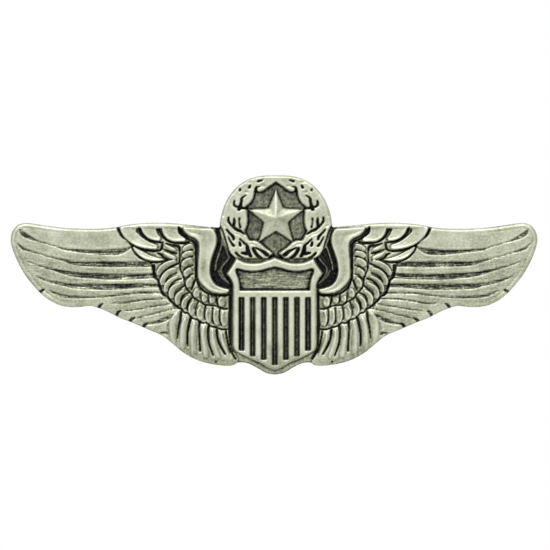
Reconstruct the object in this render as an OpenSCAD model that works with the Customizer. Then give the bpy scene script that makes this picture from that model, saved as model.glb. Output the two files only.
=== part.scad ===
// Pilot wings pin: a cast wings badge with a shield, a star and a laurel
// wreath, held through cloth by three nails and three butterfly clutches.
// X runs along the span, +Z is up, the face looks along -Y and the flat
// back of the badge lies on y = 0, with the nails and clutches on +Y.

/* [Badge] */
// Width from wing tip to wing tip
badge_span = 70; // [66:0.5:74]
// Thickness of the flat cast plate
plate_t = 1.0; // [0.9:0.05:1.3]
// Height of the long flight feathers above the plate
flight_h = 0.6; // [0.3:0.05:0.8]
// Height of the small scale feathers above the plate
scale_h = 0.85; // [0.5:0.05:1.1]
// Height of the short crescent feathers above the plate
covert_h = 0.95; // [0.5:0.05:1.2]
// Height of the smooth wing arm above the plate
arm_h = 1.15; // [0.7:0.05:1.4]
// Width of the plain rim left round each wing
rim_w = 0.45; // [0.3:0.05:0.7]

/* [Shield] */
// Height of the shield's border and ribs above the plate
shield_h = 1.5; // [1.1:0.05:1.8]
// Height of the shield's sunk panel above the plate
panel_h = 0.65; // [0.3:0.05:0.9]
// Distance from one stripe slot to the next
slot_pitch = 1.47; // [1.4:0.01:1.5]
// Width of a stripe slot
slot_w = 0.8; // [0.6:0.05:0.9]
// Height of the slot floor above the plate
slot_floor_h = 0.1; // [0.05:0.05:0.4]
// Height of the fine line that runs along each slot floor
slot_line_h = 0.25; // [0.1:0.05:0.4]

/* [Star and wreath] */
// Centre of the star to its points
star_r = 3.5; // [3.1:0.05:3.6]
// Centre of the star to its inner corners
star_inner_r = 1.4; // [1.2:0.05:1.6]
// Height of the star's peak above the plate
star_h = 1.7; // [1.0:0.05:1.9]
// Height of the laurel leaves above the plate
leaf_h = 0.9; // [0.5:0.05:1.2]

/* [Nails] */
// Distance of each side nail from the centre
nail_x = 19; // [18:0.5:20]
// Height of the side nails above the centre
nail_z = 0.7; // [0.4:0.1:1]
// Distance of the middle nail below the centre
mid_nail_drop = 4; // [3.5:0.1:4.5]
// Radius of a nail
nail_r = 0.6; // [0.55:0.01:0.62]
// Length of a nail from the back of the badge to its point
nail_len = 8; // [7.8:0.1:8.1]
// Radius of a nail's round foot
foot_r = 1.7; // [1.5:0.1:2]

/* [Clutches] */
// Gap for the cloth, between the badge and a clutch
cloth_gap = 2.5; // [2.4:0.05:2.6]
// Radius of a clutch's round plate
disc_r = 4.7; // [4.4:0.1:4.8]
// Thickness of the clutch sheet metal
sheet_t = 0.3; // [0.25:0.05:0.35]
// Radius of the drum that carries the wings
drum_r = 2.9; // [2.8:0.05:3]
// Reach of a clutch's ear from the nail
ear_reach = 6.2; // [6:0.1:6.4]
// Width of a clutch's ear
ear_w = 4.4; // [4:0.1:4.8]
// Gap left between each jaw and the nail
jaw_gap = 0.03; // [0.02:0.01:0.05]

/* [Hidden] */

badge_metal = "#b4b7a6";
nail_metal = "#c9c2a0";
plate_metal = "#b9bbb6";
frame_metal = "#c3a869";
dome_metal = "#c8ad70";
wing_metal = "#cdb47c";

drawn_span = 70;                 // the span that the outlines below are drawn at
k = badge_span / drawn_span;
sink = 0.3;                      // how far raised work is rooted in the plate
round_fn = 96;
socket_depth = 0.35;
socket_gap = 0.05;
shield_x = 0.1;                  // the shield and the wreath sit a hair right of centre
wreath_x = 0.25;
star_z = 7.6;

left_seat = [-nail_x, nail_z];
centre_seat = [0, -mid_nail_drop];
right_seat = [nail_x, nail_z];

// ---------------------------------------------------------------- outlines
// Every list holds [x, z] in mm for the left half, chosen by hand.

wing_top = [[-6.9, 6.2], [-8.7, 6.35], [-11, 6.55], [-13.5, 6.8], [-16.2, 6.85], [-19, 6.65],
            [-21.5, 6.2], [-24.5, 6.05], [-28, 6.2], [-31, 6.6], [-33, 6.85], [-34.1, 6.55]];
wing_tip = [[-34.1, 6.55], [-34.75, 5.7], [-34.97, 4.5], [-34.6, 3.0], [-33.9, 1.4], [-33.1, 0],
            [-32.1, -1.3], [-31, -2.5], [-29.7, -3.5], [-28.2, -4.15], [-26.5, -4.35], [-24.3, -4.15]];
wing_low = [[-24.3, -4.15], [-22.5, -4.75], [-20.5, -5.75], [-18.7, -6.45], [-16.5, -7.4], [-14.8, -8.15],
            [-13.3, -9.35], [-12, -10.4], [-10.5, -11.25], [-9, -11.75], [-7.3, -12.05], [-5.6, -12.1], [-4.9, -11.7]];

flight_edge = [[-21, 7.5], [-20.9, 6.2], [-20.3, 5.0], [-19.1, 4.05], [-18.7, 3.2], [-17.8, 2.2], [-16.5, 1.6],
               [-16.1, 0.4], [-15.5, -0.8], [-15.0, -2.3], [-14.2, -3.1], [-13.4, -4.1], [-13.2, -5.0],
               [-14.1, -6.4], [-14.3, -7.6], [-14, -9.5]];

flight_grooves = [
    [[-33.65, 5.9], [-33.0, 5.1], [-31.4, 4.45], [-29, 3.7], [-27, 3.15], [-24, 3.0], [-21.5, 3.15], [-18.8, 3.9]],
    [[-34.0, 4.2], [-33.2, 3.35], [-31, 2.6], [-28.6, 1.95], [-26, 1.45], [-22.5, 1.4], [-17.3, 1.5]],
    [[-32.8, 1.75], [-31.8, 1.3], [-29.5, 0.75], [-27.5, 0.2], [-25, -0.15], [-21, -0.15], [-16, 0.1]],
    [[-31.7, -0.2], [-30.8, -0.65], [-29, -1.0], [-26.5, -1.4], [-23, -1.55], [-19, -1.5], [-15.5, -1.3]],
    [[-29.9, -2.1], [-28.8, -2.65], [-26.5, -2.9], [-23, -2.95], [-19.5, -2.7], [-17, -2.35], [-15, -2.3]],
    [[-21.6, -3.85], [-20, -3.8], [-18, -3.45], [-16, -3.25], [-14, -3.2]],
    [[-19.8, -4.8], [-18, -4.6], [-16, -4.25], [-13.6, -3.9]],
    [[-18.2, -5.75], [-16.6, -5.4], [-14.8, -4.9], [-13, -4.5]],
    [[-17.2, -6.6], [-15.8, -6.4], [-14.4, -5.9], [-13.2, -5.2]]];
groove_half_w = [0.2, 0.22, 0.25, 0.25, 0.16, 0.12, 0.13, 0.12, 0.2];

arm_left = [[-12.35, 6.45], [-12.0, 5.7], [-11.3, 5.05], [-10.5, 4.7], [-10.0, 4.2], [-9.9, 3.3],
            [-10.0, 1.8], [-10.12, 0.2], [-9.9, -0.8], [-9.3, -1.7], [-8.4, -2.35], [-7.3, -2.6], [-6.2, -2.55], [-5.8, -2.2]];
arm_right = [[-5.85, -1.85], [-6.8, -1.65], [-7.6, -1.3], [-8.15, -0.6], [-8.4, 0.4], [-8.3, 1.6],
             [-7.95, 2.8], [-7.6, 3.8], [-7.5, 4.8], [-7.75, 5.7], [-8.3, 6.15], [-10.5, 6.3], [-12.35, 6.45]];

coverts = [
    [[-20.6, 6.35], [-20.2, 5.3], [-19.4, 4.5], [-18.4, 3.85], [-17.3, 3.4], [-16.1, 3.22], [-15.3, 3.3], [-15.05, 3.6],
     [-15.4, 4.05], [-16.4, 4.3], [-17.3, 4.8], [-18.0, 5.5], [-18.3, 6.5]],
    [[-17.9, 6.5], [-17.65, 5.7], [-17.1, 5.05], [-16.3, 4.6], [-15.4, 4.4], [-14.75, 4.45],
     [-14.85, 4.9], [-15.35, 5.6], [-15.6, 6.6]],
    [[-15.2, 6.55], [-14.85, 5.55], [-14.3, 4.85], [-13.6, 4.45], [-12.5, 4.27], [-11.6, 4.35], [-11.25, 4.55],
     [-11.9, 5.1], [-12.4, 5.8], [-12.75, 6.5]],
    [[-18.7, 3.7], [-18.3, 3.0], [-17.6, 2.4], [-16.8, 1.95], [-15.8, 1.72], [-14.8, 1.78], [-14.3, 1.95],
     [-15.0, 2.25], [-16.0, 2.5], [-17.2, 3.0], [-18.2, 3.5]]];
covert_leaves = [[[-12.9, 3.15], [-13.7, 3.5], [-14.7, 4.15]], [[-12.8, 2.1], [-13.9, 2.5], [-14.95, 3.05]]];

// Each scale: its root, the points it bends through, its tip, then its half width.
inner_scales = [
    [[-10.7, 3.6], [-11.5, 3.45], [-12.2, 2.85], 0.36], [[-10.8, 2.65], [-11.5, 2.55], [-12.15, 1.9], 0.36],
    [[-10.9, 1.6], [-11.7, 1.5], [-12.2, 0.65], 0.38], [[-10.9, 0.45], [-11.5, 0.2], [-11.85, -0.55], 0.36],
    [[-10.7, -0.75], [-11.2, -1.1], [-11.25, -2.0], 0.38], [[-9.7, -2.1], [-10.2, -2.5], [-10.0, -3.3], 0.38],
    [[-9.0, -2.85], [-9.25, -3.2], [-8.95, -3.85], 0.26], [[-8.15, -3.0], [-8.4, -3.4], [-8.1, -4.05], 0.3],
    [[-6.5, -3.1], [-7.0, -3.6], [-6.6, -4.3], 0.42]];
outer_scales = [
    [[-12.8, 1.55], [-14.1, 1.3], [-15.0, 0.6], [-15.35, -0.35], 0.38],
    [[-12.8, 0.55], [-14.0, 0.15], [-14.75, -0.8], [-14.45, -2.5], 0.32],
    [[-12.6, -0.4], [-13.4, -0.75], [-14.0, -1.5], [-14.05, -2.5], 0.26],
    [[-12.1, -1.35], [-13.0, -1.7], [-13.45, -2.5], [-13.3, -3.5], 0.32],
    [[-11.8, -2.35], [-12.4, -2.65], [-12.75, -3.3], [-12.45, -4.1], 0.3],
    [[-11.2, -3.0], [-11.7, -3.35], [-12.0, -4.0], [-11.75, -4.75], 0.3],
    [[-10.4, -3.7], [-10.9, -4.1], [-11.0, -4.8], [-10.6, -5.6], 0.32],
    [[-9.6, -4.3], [-9.95, -4.75], [-9.95, -5.4], [-9.5, -6.1], 0.32],
    [[-8.5, -4.6], [-8.75, -5.1], [-8.65, -5.8], [-8.25, -6.5], 0.3],
    [[-7.6, -4.8], [-7.75, -5.3], [-7.6, -6.1], [-7.2, -6.9], 0.3],
    [[-6.5, -5.0], [-6.75, -5.5], [-6.65, -6.3], [-6.35, -7.0], 0.32]];
hanging_feathers = [
    [[-12.5, -5.0], [-13.2, -6.0], [-13.4, -7.2], [-13.15, -8.6], 0.45],
    [[-11.4, -5.8], [-11.95, -6.7], [-12.1, -8.0], [-11.95, -9.6], 0.45],
    [[-10.2, -6.3], [-10.6, -7.2], [-10.7, -8.6], [-10.5, -10.2], 0.45],
    [[-9.1, -6.9], [-9.35, -7.8], [-9.3, -9.2], [-8.7, -10.8], 0.42],
    [[-8.1, -7.4], [-8.15, -8.3], [-7.8, -9.5], [-6.9, -11.0], 0.34],
    [[-7.1, -7.7], [-7.0, -8.5], [-6.6, -9.6], [-5.9, -10.8], 0.28]];

// Laurel leaves, drawn about the wreath's own centre line: tip, middle, base, half width.
laurel = [
    [[-3.55, 4.4], [-2.5, 3.4], [-1.3, 2.3], 0.7], [[-5.25, 5.6], [-4.75, 4.7], [-4.15, 3.6], 0.55],
    [[-7.0, 6.9], [-6.45, 5.7], [-5.75, 4.3], 0.5], [[-6.2, 3.35], [-5.3, 2.9], [-4.1, 2.35], 0.38],
    [[-4.05, 8.75], [-4.5, 7.4], [-4.8, 6.1], 0.5], [[-5.5, 9.0], [-6.0, 8.0], [-6.15, 6.9], 0.5],
    [[-2.9, 11.1], [-3.55, 10.2], [-4.1, 9.2], 0.5], [[-4.6, 11.5], [-5.05, 10.4], [-5.2, 9.4], 0.42],
    [[-0.2, 12.3], [-1.3, 11.8], [-2.4, 11.3], 0.42]];

wreath_edge = [[0, 13.15], [-1.6, 13.12], [-3.2, 12.8], [-4.6, 12.1], [-5.6, 11.2], [-6.4, 10.1], [-7.0, 8.8],
               [-7.35, 7.5], [-7.45, 6.2], [-7.2, 5.0], [-6.6, 3.6], [-5.4, 2.2], [-4, 1.5]];

shield_top = [[0, 2.35], [-1, 1.95], [-2, 1.65], [-3, 1.58], [-4, 1.72], [-5.15, 2.25]];
shield_ear = [[-5.15, 2.25], [-5.8, 1.15], [-6.5, 0.1]];
shield_side = [[-6.5, 0.1], [-6.0, -0.5], [-5.65, -1.3], [-5.6, -2.4], [-5.6, -9.4], [-5.4, -10.25], [-4.95, -11.0], [-4.85, -11.6]];
shield_foot = [[-4.85, -11.6], [-4.2, -11.65], [-3.2, -11.95], [-2.2, -12.5], [-1.1, -13.1], [0, -13.3]];
field_foot = [[-5.6, -9.4], [-5.3, -10.1], [-4.3, -10.7], [-3.2, -11.25], [-2.0, -11.75], [-1.0, -12.35], [0, -12.75]];
panel_edge = [[0, 1.05], [-1, 0.82], [-2, 0.55], [-3, 0.48], [-4, 0.58], [-5.05, 0.8], [-5.15, 0.3], [-4.85, -0.5], [-4.7, -1.3], [-4.65, -2.12]];
slot_top_z = -3.0;
slot_foot_z = [-12.0, -11.3, -10.85, -10.1];

// ---------------------------------------------------------------- curves
// A smooth line through the points p, with n steps between neighbours.
function bend(a, b, c, d, t) = 0.5 * (2 * b + (c - a) * t + (2 * a - 5 * b + 4 * c - d) * t * t + (3 * b - a - 3 * c + d) * t * t * t);
function smooth(p, n = 3) = let (m = len(p))
    [for (i = [0 : m - 2]) for (j = [0 : n - 1]) bend(p[max(i - 1, 0)], p[i], p[i + 1], p[min(i + 2, m - 1)], j / n), p[m - 1]];
function mirrored(p) = [for (i = [len(p) - 1 : -1 : 0]) [-p[i][0], p[i][1]]];

// A feather or leaf along a smooth line; root and tip are shares of the full half width.
module blade(line, half_w, root = 0.45, tip = 0.35, n = 3) {
    s = smooth(line, n);
    m = len(s) - 1;
    function half(t) = let (ends = root * (1 - t) + tip * t) half_w * (ends + (1 - ends) * sin(180 * t));
    across = [for (i = [0 : m]) let (d = s[min(i + 1, m)] - s[max(i - 1, 0)]) [-d[1], d[0]] / norm(d)];
    polygon(concat([for (i = [0 : m]) s[i] + across[i] * half(i / m)],
                   [for (i = [m : -1 : 0]) s[i] - across[i] * half(i / m)]));
}

module both_sides() {
    children();
    mirror([1, 0]) children();
}

// Raises a flat drawing from height low to height high on the face of the badge.
module raised(low, high)
    rotate([90, 0, 0]) translate([0, 0, low]) linear_extrude(high - low) offset(delta = 0.002) scale(k) children();

// Sets a part on the nail at a seat, its own +Z running along +Y.
module at_seat(seat, y = 0) translate([seat[0], y, seat[1]]) rotate([-90, 0, 0]) children();

// ---------------------------------------------------------------- badge drawings
module wing_outline()
    polygon(concat(smooth(wing_top), smooth(wing_tip), smooth(wing_low), [[0, -11.5], [0, 6]]));

module shield_outline()
    translate([shield_x, 0]) both_sides() polygon(concat(smooth(shield_top), shield_ear, smooth(shield_side, 2), smooth(shield_foot), [[0.01, -13.3], [0.01, 2.35]]));

module wreath_outline()
    translate([wreath_x, 0]) both_sides() polygon(concat(smooth(wreath_edge), [[0.01, 1], [0.01, 13.15]]));

module badge_outline() {
    both_sides() wing_outline();
    shield_outline();
    wreath_outline();
}

module flight_feathers() both_sides() difference() {
    intersection() {
        offset(delta = -rim_w) wing_outline();
        polygon(concat(smooth(flight_edge, 2), [[-40, -9.5], [-40, 7.5]]));
    }
    for (i = [0 : len(flight_grooves) - 1]) blade(flight_grooves[i], groove_half_w[i], 0.5, 0.8, 2);
}

module scale_feathers() both_sides() {
    for (s = inner_scales) blade([s[0], s[1], s[2]], s[3], 0.7, 0.5, 2);
    for (s = concat(outer_scales, hanging_feathers)) blade([s[0], s[1], s[2], s[3]], s[4], 0.6, 0.55, 2);
    for (s = covert_leaves) blade(s, 0.28, 0.6, 0.1, 2);
}

module covert_feathers() both_sides() for (c = coverts) polygon(smooth(c, 2));

module wing_arm() both_sides() polygon(concat(smooth(arm_left, 2), smooth(arm_right, 2)));

module wing_rim() both_sides() intersection() {
    difference() {
        wing_outline();
        offset(delta = -rim_w) wing_outline();
    }
    polygon([[-36, 8], [-33.9, 8], [-33.6, 5.4], [-32.2, 0], [-29, -3.3], [-24.3, -3.6],
             [-24.3, -8], [-36, -8]]);
}

module laurel_leaves() translate([wreath_x, 0]) both_sides() for (l = laurel) {
    difference() {
        blade([l[0], l[1], l[2]], l[3], 0.15, 0.7, 2);
        blade([l[0] * 0.75 + l[1] * 0.25, l[1], l[2]], l[3] - 0.22, 0.15, 0.7, 2);
    }
    blade([l[0] * 0.5 + l[1] * 0.5, l[1], l[2]], 0.13, 0.4, 0.9, 2);
}

module slots(width, top, lift) for (i = [-3 : 3]) {
    foot = slot_foot_z[abs(i)] + lift;
    translate([shield_x + i * slot_pitch - width / 2, foot]) square([width, top - foot]);
}

module shield_panel() translate([shield_x, 0]) polygon(concat(smooth(panel_edge, 2), mirrored(smooth(panel_edge, 2))));

module shield_field() intersection() {
    shield_outline();
    translate([shield_x, 0]) polygon(concat([[-8, 4], [-8, -9.4]], smooth(field_foot, 2), mirrored(smooth(field_foot, 2)), [[8, -9.4], [8, 4]]));
}

module shield_ribs() difference() {
    shield_field();
    shield_panel();
    slots(slot_w, slot_top_z, 0);
}

// A five-point star with a ridge along each arm, rising to one peak.
module faceted_star() {
    ring = [for (i = [0 : 9]) let (r = i % 2 == 0 ? star_r : star_inner_r) [r * sin(36 * i), r * cos(36 * i)]];
    rotate([90, 0, 0]) translate([wreath_x * k, star_z * k, 0]) polyhedron(
        points = concat([for (p = ring) [p[0] * k, p[1] * k, plate_t - sink]],
                        [for (p = ring) [p[0] * k, p[1] * k, plate_t + 0.25]],
                        [[0, 0, plate_t + star_h], [0, 0, plate_t - sink]]),
        faces = concat([for (i = [0 : 9]) [i, (i + 1) % 10, 10 + (i + 1) % 10]],
                       [for (i = [0 : 9]) [i, 10 + (i + 1) % 10, 10 + i]],
                       [for (i = [0 : 9]) [10 + i, 10 + (i + 1) % 10, 20]],
                       [for (i = [0 : 9]) [(i + 1) % 10, i, 21]]));
}

// ---------------------------------------------------------------- badge
module struck_badge() color(badge_metal) difference() {
    union() {
        raised(0, plate_t) badge_outline();
        raised(plate_t - sink, plate_t + flight_h) flight_feathers();
        raised(plate_t - sink, plate_t + flight_h + 0.12) wing_rim();
        raised(plate_t - sink, plate_t + scale_h) scale_feathers();
        raised(plate_t - sink, plate_t + covert_h) covert_feathers();
        raised(plate_t - sink, plate_t + arm_h) wing_arm();
        raised(plate_t - sink, plate_t + leaf_h) difference() {
            laurel_leaves();
            shield_outline();
        }
        raised(plate_t - sink, plate_t + panel_h) difference() {
            shield_outline();
            slots(slot_w, slot_top_z, 0);
        }
        raised(plate_t - sink, plate_t + slot_floor_h) slots(slot_w + 0.1, slot_top_z, 0);
        raised(plate_t - sink, plate_t + slot_line_h) slots(slot_w * 0.22, slot_top_z - 0.25, 0.3);
        raised(plate_t + panel_h - sink, plate_t + shield_h) shield_ribs();
        faceted_star();
    }
    for (seat = [left_seat, centre_seat, right_seat])
        at_seat(seat, -socket_depth) cylinder(r = foot_r + socket_gap, h = socket_depth + 1, $fn = round_fn);
}

// ---------------------------------------------------------------- nails
module nail(seat) color(nail_metal) at_seat(seat) rotate_extrude($fn = round_fn) polygon([
    [0, -socket_depth], [foot_r, -socket_depth], [foot_r, 0.1], [foot_r - 0.15, 0.25], [nail_r + 0.25, 0.32], [nail_r, 0.55],
    [nail_r, nail_len - 1.1], [nail_r * 0.45, nail_len - 0.3], [0.1, nail_len - 0.02], [0, nail_len]]);

// ---------------------------------------------------------------- clutches
// Drawn about the nail's axis, from the cloth side (0) outward along +Z.
hole_r = nail_r + 0.15;
collar_r = 1.25;
collar_lip_r = 1.7;
deck_z = sheet_t + 0.15;                 // underside of the drum's floor
lip_z = deck_z + sheet_t + 0.12;         // underside of the collar's lip
drum_top_z = 3.6;
window_z = [1.15, 3.3];
window_w = 3.4;
rim_tube = 0.36;
jaw_w = 2.4;
jaw_a_z = 1.45;
jaw_b_z = 2.05;
dome_h = 2.6;

module clutch_plate(seat) color(plate_metal) at_seat(seat, cloth_gap) rotate_extrude($fn = round_fn) polygon(concat(
    [[hole_r, 0], [disc_r - rim_tube, 0]],
    [for (a = [-80 : 20 : 200]) [disc_r - rim_tube + rim_tube * cos(a), rim_tube + rim_tube * sin(a)]],
    [[disc_r - 2 * rim_tube + 0.02, sheet_t], [collar_r, sheet_t], [collar_r, lip_z], [collar_lip_r, lip_z],
     [collar_lip_r, lip_z + 0.15], [collar_r - 0.1, lip_z + 0.22], [hole_r + 0.12, lip_z + 0.22], [hole_r, lip_z + 0.1]]));

module clutch_frame(seat) color(frame_metal) at_seat(seat, cloth_gap) difference() {
    rotate_extrude($fn = round_fn) polygon([
        [collar_r + 0.12, deck_z], [drum_r + 0.35, deck_z], [drum_r + 0.35, deck_z + sheet_t], [drum_r, deck_z + sheet_t + 0.1],
        [drum_r, drum_top_z], [drum_r - sheet_t, drum_top_z], [drum_r - sheet_t, deck_z + sheet_t], [collar_r + 0.12, deck_z + sheet_t]]);
    translate([-drum_r - 1, -window_w / 2, window_z[0]]) cube([2 * drum_r + 2, window_w, window_z[1] - window_z[0]]);
}

module clutch_dome(seat) color(dome_metal) at_seat(seat, cloth_gap + drum_top_z) rotate_extrude($fn = round_fn) polygon(concat(
    [[drum_r - sheet_t, 0], [drum_r + 0.2, 0], [drum_r + 0.2, sheet_t]],
    [for (a = [0 : 9 : 90]) [drum_r * cos(a), 0.55 + (dome_h - 0.55) * sin(a)]],
    [for (a = [90 : -9 : 0]) [(drum_r - sheet_t) * cos(a), 0.55 + (dome_h - sheet_t - 0.55) * sin(a)]]));

// One wing: a jaw strip that crosses the nail, and an ear that loops out of the drum.
module clutch_wing(seat, jaw_z, side) color(wing_metal) at_seat(seat, cloth_gap) mirror([side < 0 ? 0 : 1, 0, 0]) {
    jaw_tip = 1.75;
    ear_root = drum_r + 0.7;
    ear_top = 4.3;
    ear_mid = (jaw_z + ear_top) / 2;
    outer = smooth([[-ear_root, jaw_z], [-ear_reach + 0.95, jaw_z + 0.1], [-ear_reach, ear_mid],
                    [-ear_reach + 0.75, ear_top - 0.15], [-ear_reach + 1.6, ear_top - 0.1], [-drum_r - 0.75, ear_top - 0.8]], 4);
    last = len(outer) - 1;
    across = [for (i = [0 : last]) let (d = outer[min(i + 1, last)] - outer[max(i - 1, 0)]) [-d[1], d[0]] / norm(d)];
    // the ear's strip, as wide as the paddle shape lets it be
    intersection() {
        rotate([90, 0, 0]) translate([0, 0, -ear_w]) linear_extrude(2 * ear_w)
            polygon(concat(outer, [for (i = [last : -1 : 0]) outer[i] - across[i] * sheet_t]));
        linear_extrude(12) polygon(concat(
            [[-2.8, -jaw_w / 2], [-ear_root - 0.1, -jaw_w / 2]],
            [for (a = [-90 : 15 : 90]) [-ear_reach + 1.6 - 2.2 * cos(a), ear_w / 2 * sin(a)]],
            [[-ear_root - 0.1, jaw_w / 2], [-2.8, jaw_w / 2]]));
    }
    // the jaw strip, with the long hole whose far edge grips the nail
    difference() {
        translate([-ear_root - 0.05, -jaw_w / 2, jaw_z]) cube([ear_root + 0.05 + jaw_tip, jaw_w, sheet_t]);
        translate([-1.9, -0.8, jaw_z - 1]) cube([1.9 + nail_r + jaw_gap, 1.6, 3]);
    }
}

module post_left() nail(left_seat);
module post_centre() nail(centre_seat);
module post_right() nail(right_seat);
module clutch_left_plate() clutch_plate(left_seat);
module clutch_left_frame() clutch_frame(left_seat);
module clutch_left_dome() clutch_dome(left_seat);
module clutch_left_wing_a() clutch_wing(left_seat, jaw_a_z, -1);
module clutch_left_wing_b() clutch_wing(left_seat, jaw_b_z, 1);
module clutch_centre_plate() clutch_plate(centre_seat);
module clutch_centre_frame() clutch_frame(centre_seat);
module clutch_centre_dome() clutch_dome(centre_seat);
module clutch_centre_wing_a() clutch_wing(centre_seat, jaw_a_z, -1);
module clutch_centre_wing_b() clutch_wing(centre_seat, jaw_b_z, 1);
module clutch_right_plate() clutch_plate(right_seat);
module clutch_right_frame() clutch_frame(right_seat);
module clutch_right_dome() clutch_dome(right_seat);
module clutch_right_wing_a() clutch_wing(right_seat, jaw_a_z, -1);
module clutch_right_wing_b() clutch_wing(right_seat, jaw_b_z, 1);

struck_badge();
post_left();
post_centre();
post_right();
clutch_left_plate();
clutch_left_frame();
clutch_left_dome();
clutch_left_wing_a();
clutch_left_wing_b();
clutch_centre_plate();
clutch_centre_frame();
clutch_centre_dome();
clutch_centre_wing_a();
clutch_centre_wing_b();
clutch_right_plate();
clutch_right_frame();
clutch_right_dome();
clutch_right_wing_a();
clutch_right_wing_b();
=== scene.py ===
# %% [markdown]
# # A pilot's wings badge in antiqued silver
# The real badge is one small casting, 70 mm across: two spread wings, a
# striped shield and a laurel wreath round a star. Three nails on its back
# go through the cloth, and a butterfly clutch grips each one.
# The sizes come from the CAD frame; this script makes the surfaces.

# %% Frame and tools
from math import cos, sin, pi, radians, hypot
import bpy
import bmesh
import numpy as np
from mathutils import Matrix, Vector
from mathutils.bvhtree import BVHTree
from mathutils.geometry import tessellate_polygon


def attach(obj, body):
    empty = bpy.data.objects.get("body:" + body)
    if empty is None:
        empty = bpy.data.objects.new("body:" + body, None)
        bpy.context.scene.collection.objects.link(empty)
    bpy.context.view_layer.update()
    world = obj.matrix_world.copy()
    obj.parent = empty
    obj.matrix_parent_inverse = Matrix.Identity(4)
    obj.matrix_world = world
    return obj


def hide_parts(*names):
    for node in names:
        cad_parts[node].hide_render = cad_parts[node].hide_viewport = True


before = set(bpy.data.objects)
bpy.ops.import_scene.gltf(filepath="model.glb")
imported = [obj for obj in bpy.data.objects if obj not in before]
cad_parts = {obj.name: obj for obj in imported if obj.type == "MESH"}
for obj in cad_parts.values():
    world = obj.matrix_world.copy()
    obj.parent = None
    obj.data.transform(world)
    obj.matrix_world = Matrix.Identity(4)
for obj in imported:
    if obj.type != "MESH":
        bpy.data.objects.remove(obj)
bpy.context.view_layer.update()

MM = 0.001

# %% [markdown]
# ## Colours and nodes
# Paint charts give sRGB hex values, and shaders work in linear light, so one
# function turns the first into the second. Another adds a node to any tree,
# for materials and geometry alike: a key that names a socket gets a value or
# a link, and everything else is a setting of the node. The short ones after
# it only spell out the nodes that are used most.

# %% Colour and node helpers
def colour(code):
    parts = [int(code[i:i + 2], 16) / 255 for i in (1, 3, 5)]
    return tuple(c / 12.92 if c <= 0.04045 else ((c + 0.055) / 1.055) ** 2.4 for c in parts) + (1.0,)


def node(tree, kind, inputs=None, **settings):
    made = tree.nodes.new(kind)
    for key, value in settings.items():
        setattr(made, key, value)
    for key, value in (inputs or {}).items():
        if isinstance(value, bpy.types.Node):
            value = value.outputs[0]
        if isinstance(value, bpy.types.NodeSocket):
            tree.links.new(value, made.inputs[key])
        else:
            made.inputs[key].default_value = value
    return made


def calc(tree, operation, *values, clamp=False):
    """One step of arithmetic."""
    return node(tree, "ShaderNodeMath", dict(enumerate(values)), operation=operation, use_clamp=clamp)


def remap(tree, value, low, high, to_low, to_high):
    """One range laid onto another, and held to it."""
    return node(tree, "ShaderNodeMapRange",
                {"Value": value, "From Min": low, "From Max": high, "To Min": to_low, "To Max": to_high})


def noise(tree, where, scale, detail=2.0, roughness=0.5):
    return node(tree, "ShaderNodeTexNoise",
                {"Vector": where, "Scale": scale, "Detail": detail, "Roughness": roughness})


def steps(ramp, *stops):
    """Fill a colour ramp with (place, hex) stops."""
    bar = ramp.color_ramp.elements
    bar[1].position = stops[-1][0]
    for place, _ in stops[1:-1]:
        bar.new(place)
    for stop, (place, shade) in zip(bar, stops):
        stop.position = place
        stop.color = colour(shade)
    return ramp


print("white is", colour("#ffffff"))

# %% [markdown]
# ## The bench
# A die cutter works on a plate that lies face up. The bench here is the same:
# x and y across the badge in millimetres, and a height for each point of a
# fine grid. At the end the height field is stood up in the frame, with the
# face towards -Y. A grid was chosen over separate solids because a cast
# badge is one skin, with soft valleys where its parts meet.

# %% Bench grid
pitch = 0.105                                  # mm between grid points
columns, rows_up, rows_down = 341, 131, 133    # grid points each side of the origin
reach = 1.5                                    # mm, how far edge distances are worked out
xs = np.arange(-columns, columns + 1) * pitch
ys = np.arange(-rows_down, rows_up + 1) * pitch
X, Y = np.meshgrid(xs, ys)
outward = np.abs(X)                            # how far out along a wing
print("bench points:", X.size)


def smooth(points, n=6):
    """A smooth line through given points."""
    p = np.asarray(points, float)
    line = []
    for i in range(len(p) - 1):
        a, b, c, d = p[max(i - 1, 0)], p[i], p[i + 1], p[min(i + 2, len(p) - 1)]
        for t in np.arange(n) / n:
            line.append(0.5 * (2 * b + (c - a) * t + (2 * a - 5 * b + 4 * c - d) * t ** 2
                               + (3 * b - a - 3 * c + d) * t ** 3))
    return np.array(line + [p[-1]])


def inside_distance(outline):
    """Distance in from a closed outline at each bench point, negative outside."""
    p = np.asarray(outline, float)
    q = np.roll(p, -1, 0)
    far = np.full(X.shape, reach)
    for (ax, ay), (bx, by) in zip(p, q):
        i0, i1 = np.searchsorted(xs, [min(ax, bx) - reach, max(ax, bx) + reach])
        j0, j1 = np.searchsorted(ys, [min(ay, by) - reach, max(ay, by) + reach])
        if i1 <= i0 or j1 <= j0:
            continue
        gx, gy = X[j0:j1, i0:i1] - ax, Y[j0:j1, i0:i1] - ay
        dx, dy = bx - ax, by - ay
        t = np.clip((gx * dx + gy * dy) / (dx * dx + dy * dy + 1e-12), 0, 1)
        near = far[j0:j1, i0:i1]
        np.minimum(near, np.hypot(gx - t * dx, gy - t * dy), out=near)
    inside = np.zeros(X.shape, bool)
    for j, y in enumerate(ys + 1e-7):          # a hair off the points, so no row meets a corner
        cut = (p[:, 1] <= y) != (q[:, 1] <= y)
        if cut.any():
            a, b = p[cut], q[cut]
            hits = np.sort(a[:, 0] + (y - a[:, 1]) * (b[:, 0] - a[:, 0]) / (b[:, 1] - a[:, 1]))
            inside[j] = np.searchsorted(hits, xs) % 2 == 1
    return np.where(inside, far, -far)


def mirrored(points, about=0.0):
    return [[2 * about - x, y] for x, y in points[::-1]]


def both_sides(outline):
    """Inside distance for an outline on the left and its twin on the right."""
    return np.maximum(inside_distance(outline), inside_distance(mirrored(outline)))


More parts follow.
